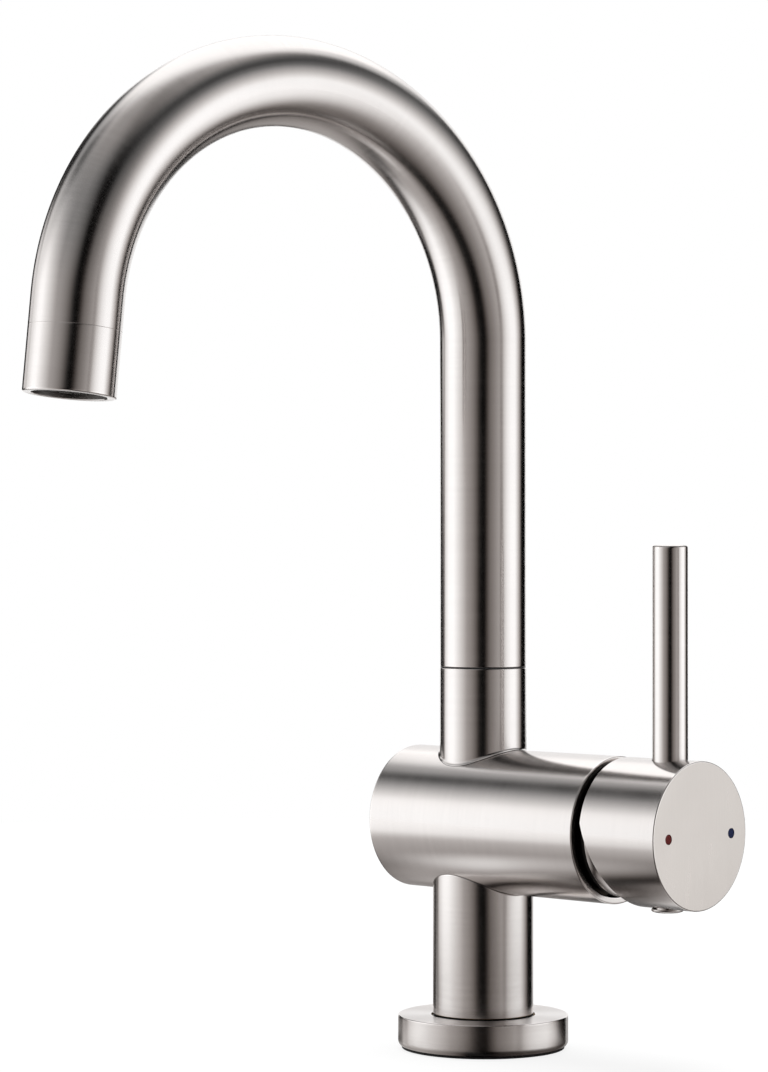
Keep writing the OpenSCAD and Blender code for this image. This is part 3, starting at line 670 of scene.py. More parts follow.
DRAWN_COPPER = MachinedFinish("drawn_copper", (0.72, 0.37, 0.23), 0.28, 0.0, 900.0, 0.008, 0.1)
BLACK_RUBBER = MouldedFinish("black_rubber", (0.018, 0.018, 0.019), 0.72, 0.25, 0.02)
BLACK_PLASTIC = MouldedFinish("black_moulding", (0.022, 0.022, 0.024), 0.42, 0.3, 0.012)
GREY_PLASTIC = MouldedFinish("grey_moulding", (0.55, 0.54, 0.53), 0.36, 0.3, 0.01)
WHITE_PLASTIC = MouldedFinish("white_moulding", (0.80, 0.80, 0.77), 0.38, 0.4, 0.008, 0.0, 0.03)
ALUMINA = MouldedFinish("lapped_alumina", (0.86, 0.83, 0.77), 0.22, 0.15, 0.002, 0.3, 0.02)
HOT_ENAMEL = MouldedFinish("hot_enamel", (0.11, 0.009, 0.008), 0.55, 0.2, 0.004, 0.0, 0.12, 0.15)
COLD_ENAMEL = MouldedFinish("cold_enamel", (0.006, 0.013, 0.06), 0.55, 0.2, 0.004, 0.0, 0.12, 0.15)


def dress(
    piece: Piece, finish: Finish, body: Body, nodes: Sequence[str] = ()
) -> None:
    """Gives a made piece its finish, its body and the nodes that it stands for.

    Args:
        piece: The piece.
        finish: Its surface finish.
        body: The body that it moves with.
        nodes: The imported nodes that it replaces.
    """
    piece.data.materials.clear()
    piece.data.materials.append(finish.material())
    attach(piece, body.value)
    if nodes:
        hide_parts(*nodes)
    faces = len(piece.data.polygons)
    LOG.info("%s: %d faces, %s, rides on %s", piece.name, faces, finish.name, body.value)


def steel(piece: Piece, body: Body, node: str) -> None:
    """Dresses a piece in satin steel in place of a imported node."""
    dress(piece, SATIN_STEEL, body, [node])


def refinish(piece: Piece, finish: Finish, chosen: Callable[[Face], bool]) -> None:
    """Gives some faces of a dressed piece a second finish.

    Args:
        piece: The piece.
        finish: The finish for the chosen faces.
        chosen: Says of a face whether it takes the second finish.
    """
    piece.data.materials.append(finish.material())
    for face in piece.data.polygons:
        if chosen(face):
            face.material_index = 1


@dataclass
class Base:
    """The rosette, its rubber ring and the lower column."""

    gasket_h: float = 0.5
    gasket_r: float = 23.92
    gasket_in_r: float = 16.75
    gasket_round: float = 0.15
    rosette_r: float = 25.0
    rosette_in_r: float = 21.4
    rosette_top: float = 9.8
    plate_h: float = 8.3
    foot_round: float = 1.8
    top_bevel: float = 0.35
    hole_bevel: float = 0.2
    column_r: float = 14.75
    column_in_r: float = 12.55
    column_gap: float = 0.5
    groove: float = 0.4
    groove_sink: float = 0.6
    joint_gap: float = 0.06
    rim_inset: float = 0.22

    # The column's rings as (inset, distance, edge): above the groove and under the barrel.
    shoulder: Triples = ((0.08, 0.0, 0.0), (0.0, 0.1, 1.0), (0.0, 1.6, 0.0))
    rim: Triples = ((0.0, 1.2, 0.0), (0.0, 0.5, 0.0), (0.0, 0.34, 1.0), (0.07, 0.16, 1.0))

    def make_gasket(self) -> None:
        """Makes the rubber ring that shows as a thin dark line under the rosette."""
        sizes = (self.gasket_in_r, self.gasket_r, 0.0, self.gasket_h, self.gasket_round)
        piece = turned("deck_gasket", rounded(plain_ring(*sizes)), upright())
        dress(piece, BLACK_RUBBER, Body.FIXED, ["base_gasket"])

    def make_rosette(self) -> None:
        """Makes the turned rosette with its rounded foot and crisp top edge."""
        hole_r = self.column_r + self.column_gap
        corners = [
            (self.rosette_in_r, self.gasket_h, 0.0),
            (self.rosette_r, self.gasket_h, self.foot_round),
            (self.rosette_r, self.rosette_top, self.top_bevel),
            (hole_r, self.rosette_top, self.hole_bevel),
            (hole_r, self.plate_h, 0.0),
            (self.rosette_in_r, self.plate_h, 0.0),
        ]
        outline = rounded(corners, steps=6)
        piece = turned("rosette_turned", outline, upright(), segments=FINE_SEGMENTS)
        steel(piece, Body.FIXED, "base_rosette")
        refinish(piece, TOP_STEEL, lambda face: face.normal.z > 0.9)

    def make_column(self) -> None:
        """Makes the lower column, whose top follows the barrel's underside."""
        angle = circle_angles()

        def below(radius: float, drop: float) -> np.ndarray:
            """Gives heights under the barrel's underside."""
            return saddle(radius, angle, -1.0, drop)

        outer, inner = self.column_r, self.column_in_r
        sunk, groove_top = self.rosette_top - self.groove_sink, self.rosette_top + self.groove
        core, top_r = outer - self.groove, outer - self.rim_inset
        rows = [(inner, self.plate_h, 0.0), (outer, self.plate_h, 0.0)]
        rows += [(outer, sunk, 0.0), (core, sunk, 0.0), (core, groove_top, 0.0)]
        rows += [(outer - inset, groove_top + up, edge) for inset, up, edge in self.shoulder]
        rows += [(outer - inset, below(outer, drop), edge) for inset, drop, edge in self.rim]
        rows.append((top_r, below(top_r, self.joint_gap), 1.0))
        rows.append((inner, below(inner, self.joint_gap), 0.0))
        piece = skin("column_tube", rows, angle, upright())
        steel(piece, Body.FIXED, "lower_column")
        # Everything below the groove's top, the groove included, is painted black as the shade line
        # at the column's foot.
        refinish(piece, PAINTED_SHADE_STEEL, lambda face: face.center.z < groove_top * MM)

    def make(self) -> None:
        """Makes and dresses every piece of the base."""
        self.make_gasket()
        self.make_rosette()
        self.make_column()


@dataclass
class Barrel:
    """The barrel with its lid, the neck on top of it and the seam ring."""

    barrel_in_r: float = 19.0
    left_x: float = -26.3
    right_x: float = 51.2
    rim_round: float = 0.35
    lid_t: float = 3.0
    lid_sink: float = 0.04
    lid_play: float = 0.05
    neck_r: float = 12.75
    neck_in_r: float = 9.5
    neck_top: float = 111.6
    neck_lip: float = 0.45
    ring_r: float = 12.5
    ring_t: float = 0.4
    ring_round: float = 0.08
    screw_drop: float = 8.6
    screw_d: float = 4.0
    screw_play: float = 0.15
    screw_from: float = 4.0
    screw_to: float = 20.0

    # The neck's rings: on its lip and its foot as (share of the lip's width, height over
    # the barrel, edge), and at its rim as (inset, depth below the top, edge).
    neck_sink: float = 0.5
    lip: Triples = ((1.0, -0.06, 0.0), (1.0, 0.14, 1.0), (0.7, 0.28, 1.0), (0.3, 0.45, 1.0))
    foot: Triples = ((0.08, 0.7, 0.0), (0.0, 1.0, 0.0), (0.0, 1.4, 0.0))
    rim: Triples = ((0.0, 1.0, 0.0), (0.0, 0.3, 0.0), (0.05, 0.1, 1.0), (0.2, 0.0, 1.0))

    def make_barrel(self) -> None:
        """Makes the barrel's tube."""
        corners = [
            (self.barrel_in_r, self.left_x, 0.12),
            (BARREL_R, self.left_x, self.rim_round),
            (BARREL_R, self.right_x, self.rim_round),
            (self.barrel_in_r, self.right_x, 0.2),
        ]
        place = along_barrel()
        piece = turned("barrel_tube", rounded(corners), place, segments=FINE_SEGMENTS)
        steel(piece, Body.FIXED, "barrel")

    def make_lid(self) -> None:
        """Makes the lid that closes the barrel's far end."""
        lid_r = self.barrel_in_r - self.lid_play
        corners = [
            (0.0, self.left_x + self.lid_sink, 0.0),
            (lid_r, self.left_x + self.lid_sink, 0.15),
            (lid_r, self.left_x + self.lid_t, 0.0),
            (0.0, self.left_x + self.lid_t, 0.0),
        ]
        outline = rounded(corners, closed=False)
        piece = turned("barrel_lid", outline, along_barrel(), False, FINE_SEGMENTS)
        steel(piece, Body.FIXED, "barrel_end_cap")

    def make_neck(self) -> None:
        """Makes the neck with its screw hole and the weld lip at its foot."""
        angle = circle_angles()
        outer, inner, top, width = self.neck_r, self.neck_in_r, self.neck_top, self.neck_lip
        rows: list[Row] = [(inner, saddle(inner, angle, 1.0, -self.neck_sink), 0.0)]
        for share, rise, edge in self.lip:
            radius = outer + width * share
            rows.append((radius, saddle(radius, angle, 1.0, rise), edge))
        for share, rise, edge in self.foot:
            rows.append((outer + width * share, saddle(outer, angle, 1.0, rise), edge))
        rows += [(outer - inset, top - drop, edge) for inset, drop, edge in self.rim]
        rows += [(inner, top, 0.0), (inner, top - 1.0, 0.0)]
        piece = skin("neck_sleeve", rows, angle, upright())
        across = Place((0.0, 0.0, top - self.screw_drop), BACK, RIGHT)
        hole_r = self.screw_d / 2 + self.screw_play
        cut_away(piece, [drill("neck_hole", across, hole_r, self.screw_from, self.screw_to)])
        shade_as_cylinder(piece, upright(), outer)
        steel(piece, Body.FIXED, "spout_neck")
        # The outer part of the weld lip is painted black as the shade line where the neck meets the
        # barrel.
        side = (outer + width * 0.95) * MM
        refinish(piece, PAINTED_SHADE_STEEL, lambda face: math.hypot(*face.center.xy) > side)

    def make_seam_ring(self) -> None:
        """Makes the thin dark ring that the spout turns on."""
        low, high = self.neck_top, self.neck_top + self.ring_t
        corners = plain_ring(self.neck_in_r, self.ring_r, low, high, self.ring_round)
        piece = turned("seam_ring", rounded(corners, ease=0.1), upright())
        dress(piece, BLACK_PLASTIC, Body.FIXED, ["slip_ring"])

    def make(self) -> None:
        """Makes and dresses every piece of the barrel and neck."""
        self.make_barrel()
        self.make_lid()
        self.make_neck()
        self.make_seam_ring()


@dataclass
class Spout:
    """The gooseneck tube and the outlet collar at its end."""

    tube_r: float = 12.7
    tube_in_r: float = 11.2
    foot_h: float = 112.05
    foot_rings: tuple[float, ...] = (0.0, 0.12, 0.5, 2.0, 20.0, 60.0, 88.0)
    foot_bevels: tuple[float, ...] = (0.15, 0.03)
    end_bevel: float = 0.06
    bend_start_h: float = 206.9
    bend_r: float = 71.0
    bend_sweep: float = 174.0
    bend_steps: int = 116
    leg: float = 8.6
    collar_len: float = 18.0
    seat_r: float = 10.2
    throat_r: float = 8.8
    throat_h: float = 7.4
    heading: float = -98.5

    @property
    def outward(self) -> np.ndarray:
        """The level direction that the spout points in."""
        turn = math.radians(self.heading)
        return np.array([math.cos(turn), math.sin(turn), 0.0])

    def bend(self, turn: float) -> tuple[np.ndarray, np.ndarray]:
        """Gives the centre line's point and direction at an angle of the bend."""
        out, up = self.outward, np.array(UP)
        centre = out * self.bend_r + up * self.bend_start_h
        rise, run = up * (self.bend_r * math.sin(turn)), out * (self.bend_r * math.cos(turn))
        return centre - run + rise, out * math.sin(turn) + up * math.cos(turn)

    def outlet_place(self) -> Place:
        """Gives the outlet's axis, with heights counted down the water jet."""
        end, jet = self.bend(math.radians(self.bend_sweep))
        side = np.cross(UP, self.outward)
        return Place(tuple(end + jet * self.leg), tuple(jet), tuple(side))

    def path(self) -> tuple[np.ndarray, np.ndarray]:
        """Gives the points of the tube's centre line and their directions."""
        up = np.array(UP)
        stations = [(up * (self.foot_h + height), up) for height in self.foot_rings]
        sweep = math.radians(self.bend_sweep)
        stations += [self.bend(sweep * k / self.bend_steps) for k in range(self.bend_steps + 1)]
        end, jet = stations[-1]
        for beyond in (2.0, self.leg - 0.5, self.leg - 0.07, self.leg):
            stations.append((end + jet * beyond, jet))
        points, ways = zip(*stations)
        return np.array(points), np.array(ways)

    def make_tube(self) -> None:
        """Makes the bent tube as one smooth skin with its bore."""
        line, ways = self.path()
        angle = circle_angles()
        cos, sin = np.cos(angle)[:, None], np.sin(angle)[:, None]
        side = np.cross(UP, self.outward)
        front = np.cross(side, ways)[:, None, :]
        out, lay = cos * side + sin * front, -sin * side + cos * front
        radius, edge = np.full(len(line), self.tube_r), np.zeros(len(line))
        radius[:2] -= self.foot_bevels
        radius[-1] -= self.end_bevel
        edge[[0, 1, -1]] = 1.0
        outer = line[:, None, :] + radius[:, None, None] * out
        inner = line[:, None, :] + self.tube_in_r * out
        shape = outer.shape[:2]
        grain = np.empty_like(outer)
        grain[..., 0] = lengths_along(line)[:, None]
        grain[..., 1:] = self.tube_r * np.hstack([cos, sin])
        edges = np.broadcast_to(edge[:, None], shape)
        pairs = ((outer, inner), (grain, grain), (lay, lay), (edges, np.zeros(shape)))
        piece = loft("gooseneck_tube", *(np.concatenate([a, b[::-1]]) for a, b in pairs))
        steel(piece, Body.SPOUT, "spout_tube")

    def make_collar(self) -> None:
        """Makes the outlet collar, which ends flush with the tube, and its bore, painted dark as
        shade.
        """
        corners = [
            (self.throat_r, 0.0, 0.0),
            (self.tube_r, 0.0, self.end_bevel),
            (self.tube_r, self.collar_len, 0.35),
            (self.seat_r, self.collar_len, 0.3),
            (self.seat_r, self.throat_h, 0.0),
            (self.throat_r, self.throat_h, 0.0),
        ]
        place = self.outlet_place()
        piece = turned("outlet_collar", rounded(corners), place)
        steel(piece, Body.SPOUT, "outlet_sleeve")
        start, jet = Vector(place.origin) * MM, Vector(place.axis)

        def in_bore(face: Face) -> bool:
            """Says whether a face lies on the collar's bore."""
            out = face.center - start
            out -= jet * out.dot(jet)
            return out.length < (self.seat_r + 0.02) * MM

        # The bore is painted dark as the shade inside the outlet.
        refinish(piece, BORE_SHADE_STEEL, in_bore)

    def make(self) -> None:
        """Makes and dresses every piece of the spout."""
        self.make_tube()
        self.make_collar()


@dataclass
class Handle:
    """The handle's cup and face, its lever rod, plug and hot and cold inlays."""

    cup_r: float = 20.9
    cup_in_r: float = 19.3
    rear_x: float = 54.0
    face_x: float = 80.5
    face_round: float = 0.35
    face_gap: float = 0.02
    face_t: float = 0.6
    socket_x: float = 65.0
    cut_angle: float = 19.5
    cut_start: float = 3.5
    rod_r: float = 5.0
    rod_x: float = 69.9
    rod_foot: float = 18.6
    rod_top: float = 147.7
    rod_bevel: float = 0.7
    rod_play: float = 0.13
    plug_x: float = 68.9
    plug_r: float = 4.5
    plug_head: float = 1.3
    plug_bevel: float = 0.12
    plug_stem_r: float = 3.3
    plug_stem: float = 5.3
    plug_play: float = 0.1
    inlay_r: float = 1.4
    inlay_dome: float = 0.1
    inlay_gap: float = 0.06
    inlay_offset: float = 14.1
    recess: float = 0.5
    rod_hole_h: float = 15.5
    plug_hole_h: float = -27.5
    hole_len: float = 12.0

    # Rings at the cup's rear as (distance outwards, distance from the slanting edge, edge),
    # and behind the face as distances from its rounding.
    rear_inside: Triples = ((0.0, 1.0, 0.0), (0.0, 0.2, 0.0), (0.15, 0.0, 1.0))
    rear_outside: Triples = (
        (-0.2, 0.0, 1.0), (-0.06, 0.06, 1.0), (0.0, 0.2, 1.0), (0.0, 0.6, 0.0),
    )
    behind_face: tuple[float, ...] = (7.65, 0.35)

    @property
    def face_r(self) -> float:
        """The radius of the flat face inside the cup's rounded edge."""
        return self.cup_r - self.face_round - self.face_gap

    def rear(self, radius: float, angle: np.ndarray, inset: float) -> np.ndarray:
        """Gives where the cup's rear edge lies around it.

        Args:
            radius: Radius of the circle that is asked about.
            angle: Angles around the axis, from straight up.
            inset: Distance in front of the edge.

        Returns:
            The distances along the barrel's axis.
        """
        slope = math.tan(math.radians(self.cut_angle))
        slant = np.maximum(self.cut_start - radius * np.cos(angle), 0.0) * slope
        return self.rear_x + slant + inset

    def cup_angles(self) -> np.ndarray:
        """Gives angles with two of them exactly where the slanting cut starts."""
        corner = math.acos(self.cut_start / self.cup_r)
        top = np.linspace(-corner, corner, 73)[:-1]
        bottom = np.linspace(corner, 2.0 * math.pi - corner, 121)[:-1]
        return np.concatenate([top, bottom])

    def make_cup(self) -> None:
        """Makes the cup with its slanting rear edge and the hole for the rod."""
        angle = self.cup_angles()
        outer, inner = self.cup_r, self.cup_in_r
        face, bend = self.face_x, self.face_round
        rows = [(0.0, self.socket_x, 0.0), (inner, self.socket_x, 0.0)]
        for radius, rings in ((inner, self.rear_inside), (outer, self.rear_outside)):
            rows += [(radius + out, self.rear(radius, angle, x), edge) for out, x, edge in rings]
        rows += [(outer, face - bend - back, 0.0) for back in self.behind_face]
        for turn in (math.pi / 2 * k / 4 for k in range(5)):
            radius = outer - bend * (1.0 - math.cos(turn))
            rows.append((radius, face - bend * (1.0 - math.sin(turn)), 1.0))
        rows += [
            (self.face_r, face, 1.0),
            (self.face_r, face - self.face_t, 0.0),
            (0.0, face - self.face_t, 0.0),
        ]
        piece = skin("handle_cup", rows, angle, along_barrel(), closed=False)
        over = upright(AXIS_H + self.rod_hole_h, self.rod_x)
        under = upright(AXIS_H + self.plug_hole_h, self.plug_x)
        rod_hole = drill("rod_hole", over, self.rod_r + self.rod_play, 0.0, self.hole_len, 96)
        stem_r = self.plug_stem_r + self.plug_play
        plug_hole = drill("plug_hole", under, stem_r, 0.0, self.hole_len)
        cut_away(piece, [rod_hole, plug_hole])
        shade_as_cylinder(piece, along_barrel(), outer)
        steel(piece, Body.HANDLE, "handle_shell")

    def circle(
        self, work: bmesh.types.BMesh, x: float, across: float, radius: float, count: int
    ) -> list[bmesh.types.BMVert]:
        """Adds a circle of points square to the handle's axis.

        Args:
            work: The mesh that is being built.
            x: Where the circle lies along the axis.
            across: How far its centre lies to the side.
            radius: Its radius.
            count: Number of points.

        Returns:
            The points.
        """
        return [
            work.verts.new(
                (x * MM, (across + radius * math.cos(a)) * MM, (AXIS_H + radius * math.sin(a)) * MM)
            )
            for a in circle_angles(count)
        ]

    def make_face(self) -> None:
        """Makes the flat brushed face with two recesses for the inlays."""
        work = bmesh.new()
        hole_r = self.inlay_r + self.inlay_gap
        circles = [(0.0, self.face_r, 160)]
        circles += [(side * self.inlay_offset, hole_r, 48) for side in (-1.0, 1.0)]
        flat_edges: list[bmesh.types.BMEdge] = []
        for across, radius, count in circles:
            ring = self.circle(work, self.face_x, across, radius, count)
            pairs = [(i, (i + 1) % count) for i in range(count)]
            flat_edges += [work.edges.new((ring[i], ring[j])) for i, j in pairs]
            if radius == hole_r:
                deep = self.circle(work, self.face_x - self.recess, across, radius, count)
                for i, j in pairs:
                    work.faces.new((ring[i], ring[j], deep[j], deep[i]))
        bmesh.ops.triangle_fill(work, edges=flat_edges, use_beauty=True)
        bmesh.ops.recalc_face_normals(work, faces=work.faces)
        if max(work.faces, key=lambda face: face.calc_area()).normal.x < 0:
            bmesh.ops.reverse_faces(work, faces=work.faces)
        mesh = bpy.data.meshes.new("handle_face")
        work.to_mesh(mesh)
        work.free()
        points = np.array([v.co for v in mesh.vertices])
        store_vectors(mesh, "grain", points[:, [1, 2, 0]])
        store_vectors(mesh, "lay", np.broadcast_to(UP, points.shape))
        mesh.attributes.new("edge", "FLOAT", "POINT")
        smooth(mesh, 20.0)
        # The face's darker colour is painted shade.
        dress(add_object("handle_face", mesh), FACE_SHADED_STEEL, Body.HANDLE)

    def make_rod(self) -> None:
        """Makes the lever rod with its bevelled top."""
        foot = AXIS_H + self.rod_foot
        corners = [
            (0.0, foot, 0.0),
            (self.rod_r, foot, 0.0),
            (self.rod_r, self.rod_top, self.rod_bevel),
            (0.0, self.rod_top, 0.0),
        ]
        outline = rounded(corners, closed=False, steps=5)
        piece = turned("lever_rod", outline, upright(0.0, self.rod_x), False, 128)
        steel(piece, Body.HANDLE, "lever_pin")

    def make_plug(self) -> None:
        """Makes the domed plug under the cup."""
        top, head = AXIS_H - self.cup_r, self.plug_head
        outline = []
        for turn in (math.radians(90.0 - 9.0 * i) for i in range(11)):
            dome = top - head * 0.4 - head * 0.6 * math.sin(turn)
            outline.append((self.plug_r * math.cos(turn), dome, 0.0))
        outline += [
            (self.plug_r, top - self.plug_bevel, 1.0),
            (self.plug_r - self.plug_bevel, top, 1.0),
            (self.plug_stem_r, top, 0.0),
            (self.plug_stem_r, top + self.plug_stem, 0.0),
            (0.0, top + self.plug_stem, 0.0),
        ]
        piece = turned("plug_cap", outline, upright(0.0, self.plug_x), False, 96)
        steel(piece, Body.HANDLE, "grub_screw_plug")

    def make_inlays(self) -> None:
        """Makes the hot and the cold inlay, slightly domed in their recesses."""
        shares = [i / 8.0 for i in range(9)]
        outline = [(self.inlay_r * share, -self.inlay_dome * share**2, 0.0) for share in shares]
        outline += [(self.inlay_r, -1.0, 0.0), (0.0, -1.0, 0.0)]
        for name, side, finish, slot, node in (
            ("hot_inlay", -1.0, HOT_ENAMEL, "hot_red", "hot_dot"),
            ("cold_inlay", 1.0, COLD_ENAMEL, "cold_blue", "cold_dot"),
        ):
            place = along_barrel(self.face_x, side * self.inlay_offset)
            dress(turned(name, outline, place, False, 48), finish, Body.HANDLE, [node])

    def make(self) -> None:
        """Makes and dresses every piece of the handle."""
        self.make_cup()
        self.make_face()
        self.make_rod()
        self.make_plug()
        self.make_inlays()


@dataclass
class Cartridge:
    """The cover ring over the cartridge, and the finishes of the hidden pieces."""

    foot_x: float = 48.7
    collar_x: float = 52.8
    collar_t: float = 1.2
    end_x: float = 59.2
    inner_r: float = 16.0
    skirt_r: float = 17.3
    collar_r: float = 18.6
    opening_r: float = 12.6
    shade_x: float = 54.01
    opening_t: float = 1.2
    seat_depth: float = 5.0
    dome_steps: int = 16
    finishes: tuple[tuple[Finish, tuple[str, ...]], ...] = (
        (MACHINED_BRASS, ("column_foot", "waterway_core", "spout_spigot")),
        # The cartridge nut is darkened as painted shade, so the gap behind the handle stays black.
        (NUT_SHADE_DARK_BRASS, ("cartridge_nut",)),
        (DRAWN_COPPER, ("hot_riser_tube", "cold_riser_tube")),
        (INNER_STEEL, ("spout_set_screw", "pivot_pin", "cartridge_lever", "grub_screw")),
        # The aerator housing is painted dark as shade inside the outlet.
        (OUTLET_SHADE_DARK_STEEL, ("aerator_housing",)),
        (BLACK_RUBBER, ("base_seals", "port_seals", "spigot_seals", "aerator_washer")),
        (BLACK_PLASTIC, ("cartridge_housing", "disc_carrier")),
        (GREY_PLASTIC, ("aerator_grille",)),
        (WHITE_PLASTIC, ("cartridge_base", "cartridge_rotor", "aerator_diffuser")),
        (ALUMINA, ("fixed_ceramic_disc", "moving_ceramic_disc")),
    )

    def make_cover(self) -> None:
        """Makes the domed cover ring that shows in the slanting gap."""
        shoulder = self.collar_x + self.collar_t
        corners = [
            (self.inner_r, self.foot_x, 0.0),
            (self.skirt_r, self.foot_x, 0.0),
            (self.skirt_r, self.collar_x, 0.0),
            (self.collar_r, self.collar_x, 0.2),
            (self.collar_r, shoulder, 0.0),
        ]
        points = rounded(corners, closed=False)[:-1]
        for i in range(self.dome_steps + 1):
            turn = math.radians(90.0 * i / self.dome_steps)
            radius = self.opening_r + (self.collar_r - self.opening_r) * math.cos(turn)
            points.append((radius, shoulder + (self.end_x - shoulder) * math.sin(turn), 0.0))
        points.append((self.opening_r, self.end_x - self.opening_t, 0.0))
        points.append((self.inner_r, self.end_x - self.seat_depth, 0.0))
        piece = turned("cover_dome", points, along_barrel())
        steel(piece, Body.FIXED, "cover_ring")
        # The skirt and collar in front of the cup's rear edge are painted black as the shade in the
        # gap between barrel and handle.
        refinish(piece, PAINTED_SHADE_STEEL, lambda face: face.center.x < self.shade_x * MM)

    def dress_packed(self, nodes: dict[str, Piece]) -> None:
        """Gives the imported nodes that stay, taken by their names, their finishes."""
        for finish, names in self.finishes:
            for name in names:
                for slot in nodes[name].material_slots:
                    slot.material = finish.material()
                LOG.info("%s keeps its packed shape in %s", name, finish.name)


@dataclass(frozen=True)
class SoftPanel:
    """A broad soft light on the tent's wall, by its direction from the tap.

    Azimuths are in degrees from the camera's side, positive to the camera's right, and
    elevations are in degrees above the tap's middle.

    Attributes:
        across: Shares of full brightness as (azimuth, share).
        up: Shares of full brightness as (elevation, share).
        strength: Full brightness, where 1 is white. Below 0 the panel shades the others.
        lean: Degrees that it leans to the camera's right for each degree above the middle.
        lean_top: Elevation above which it leans no further.
    """

    across: tuple[tuple[float, float], ...]
    up: tuple[tuple[float, float], ...]
    strength: float
    lean: float = 0.0
    lean_top: float = 25.0

    def glow(self, azimuth: np.ndarray, elevation: np.ndarray) -> np.ndarray:
        """Gives the panel's light in each direction."""
        shift = self.lean * np.clip(elevation, 0.0, self.lean_top)
        wide = np.interp(azimuth - shift, *zip(*self.across))
        return self.strength * wide * np.interp(elevation, *zip(*self.up))


@dataclass(frozen=True)
class RoundLamp:
    """A round soft light on the tent's wall.

    Attributes:
        azimuth: Direction of its middle from the camera's side, in degrees.
        elevation: Elevation of its middle, in degrees.
        radius: Half of its width, in degrees.
        fade: Width of its soft edge, in degrees.
        strength: Full brightness, where 1 is white.
    """

    azimuth: float
    elevation: float
    radius: float
    fade: float
    strength: float

    def glow(self, azimuth: np.ndarray, elevation: np.ndarray) -> np.ndarray:
        """Gives the lamp's light in each direction."""
        up, lamp_up = np.radians(elevation), math.radians(self.elevation)
        turn = np.radians(azimuth - self.azimuth)
        near = np.sin(up) * math.sin(lamp_up) + np.cos(up) * math.cos(lamp_up) * np.cos(turn)
        away = np.degrees(np.arccos(np.clip(near, -1.0, 1.0)))
        rim = (self.radius - self.fade / 2, self.radius + self.fade / 2)
        return self.strength * np.interp(away, rim, (1.0, 0.0))


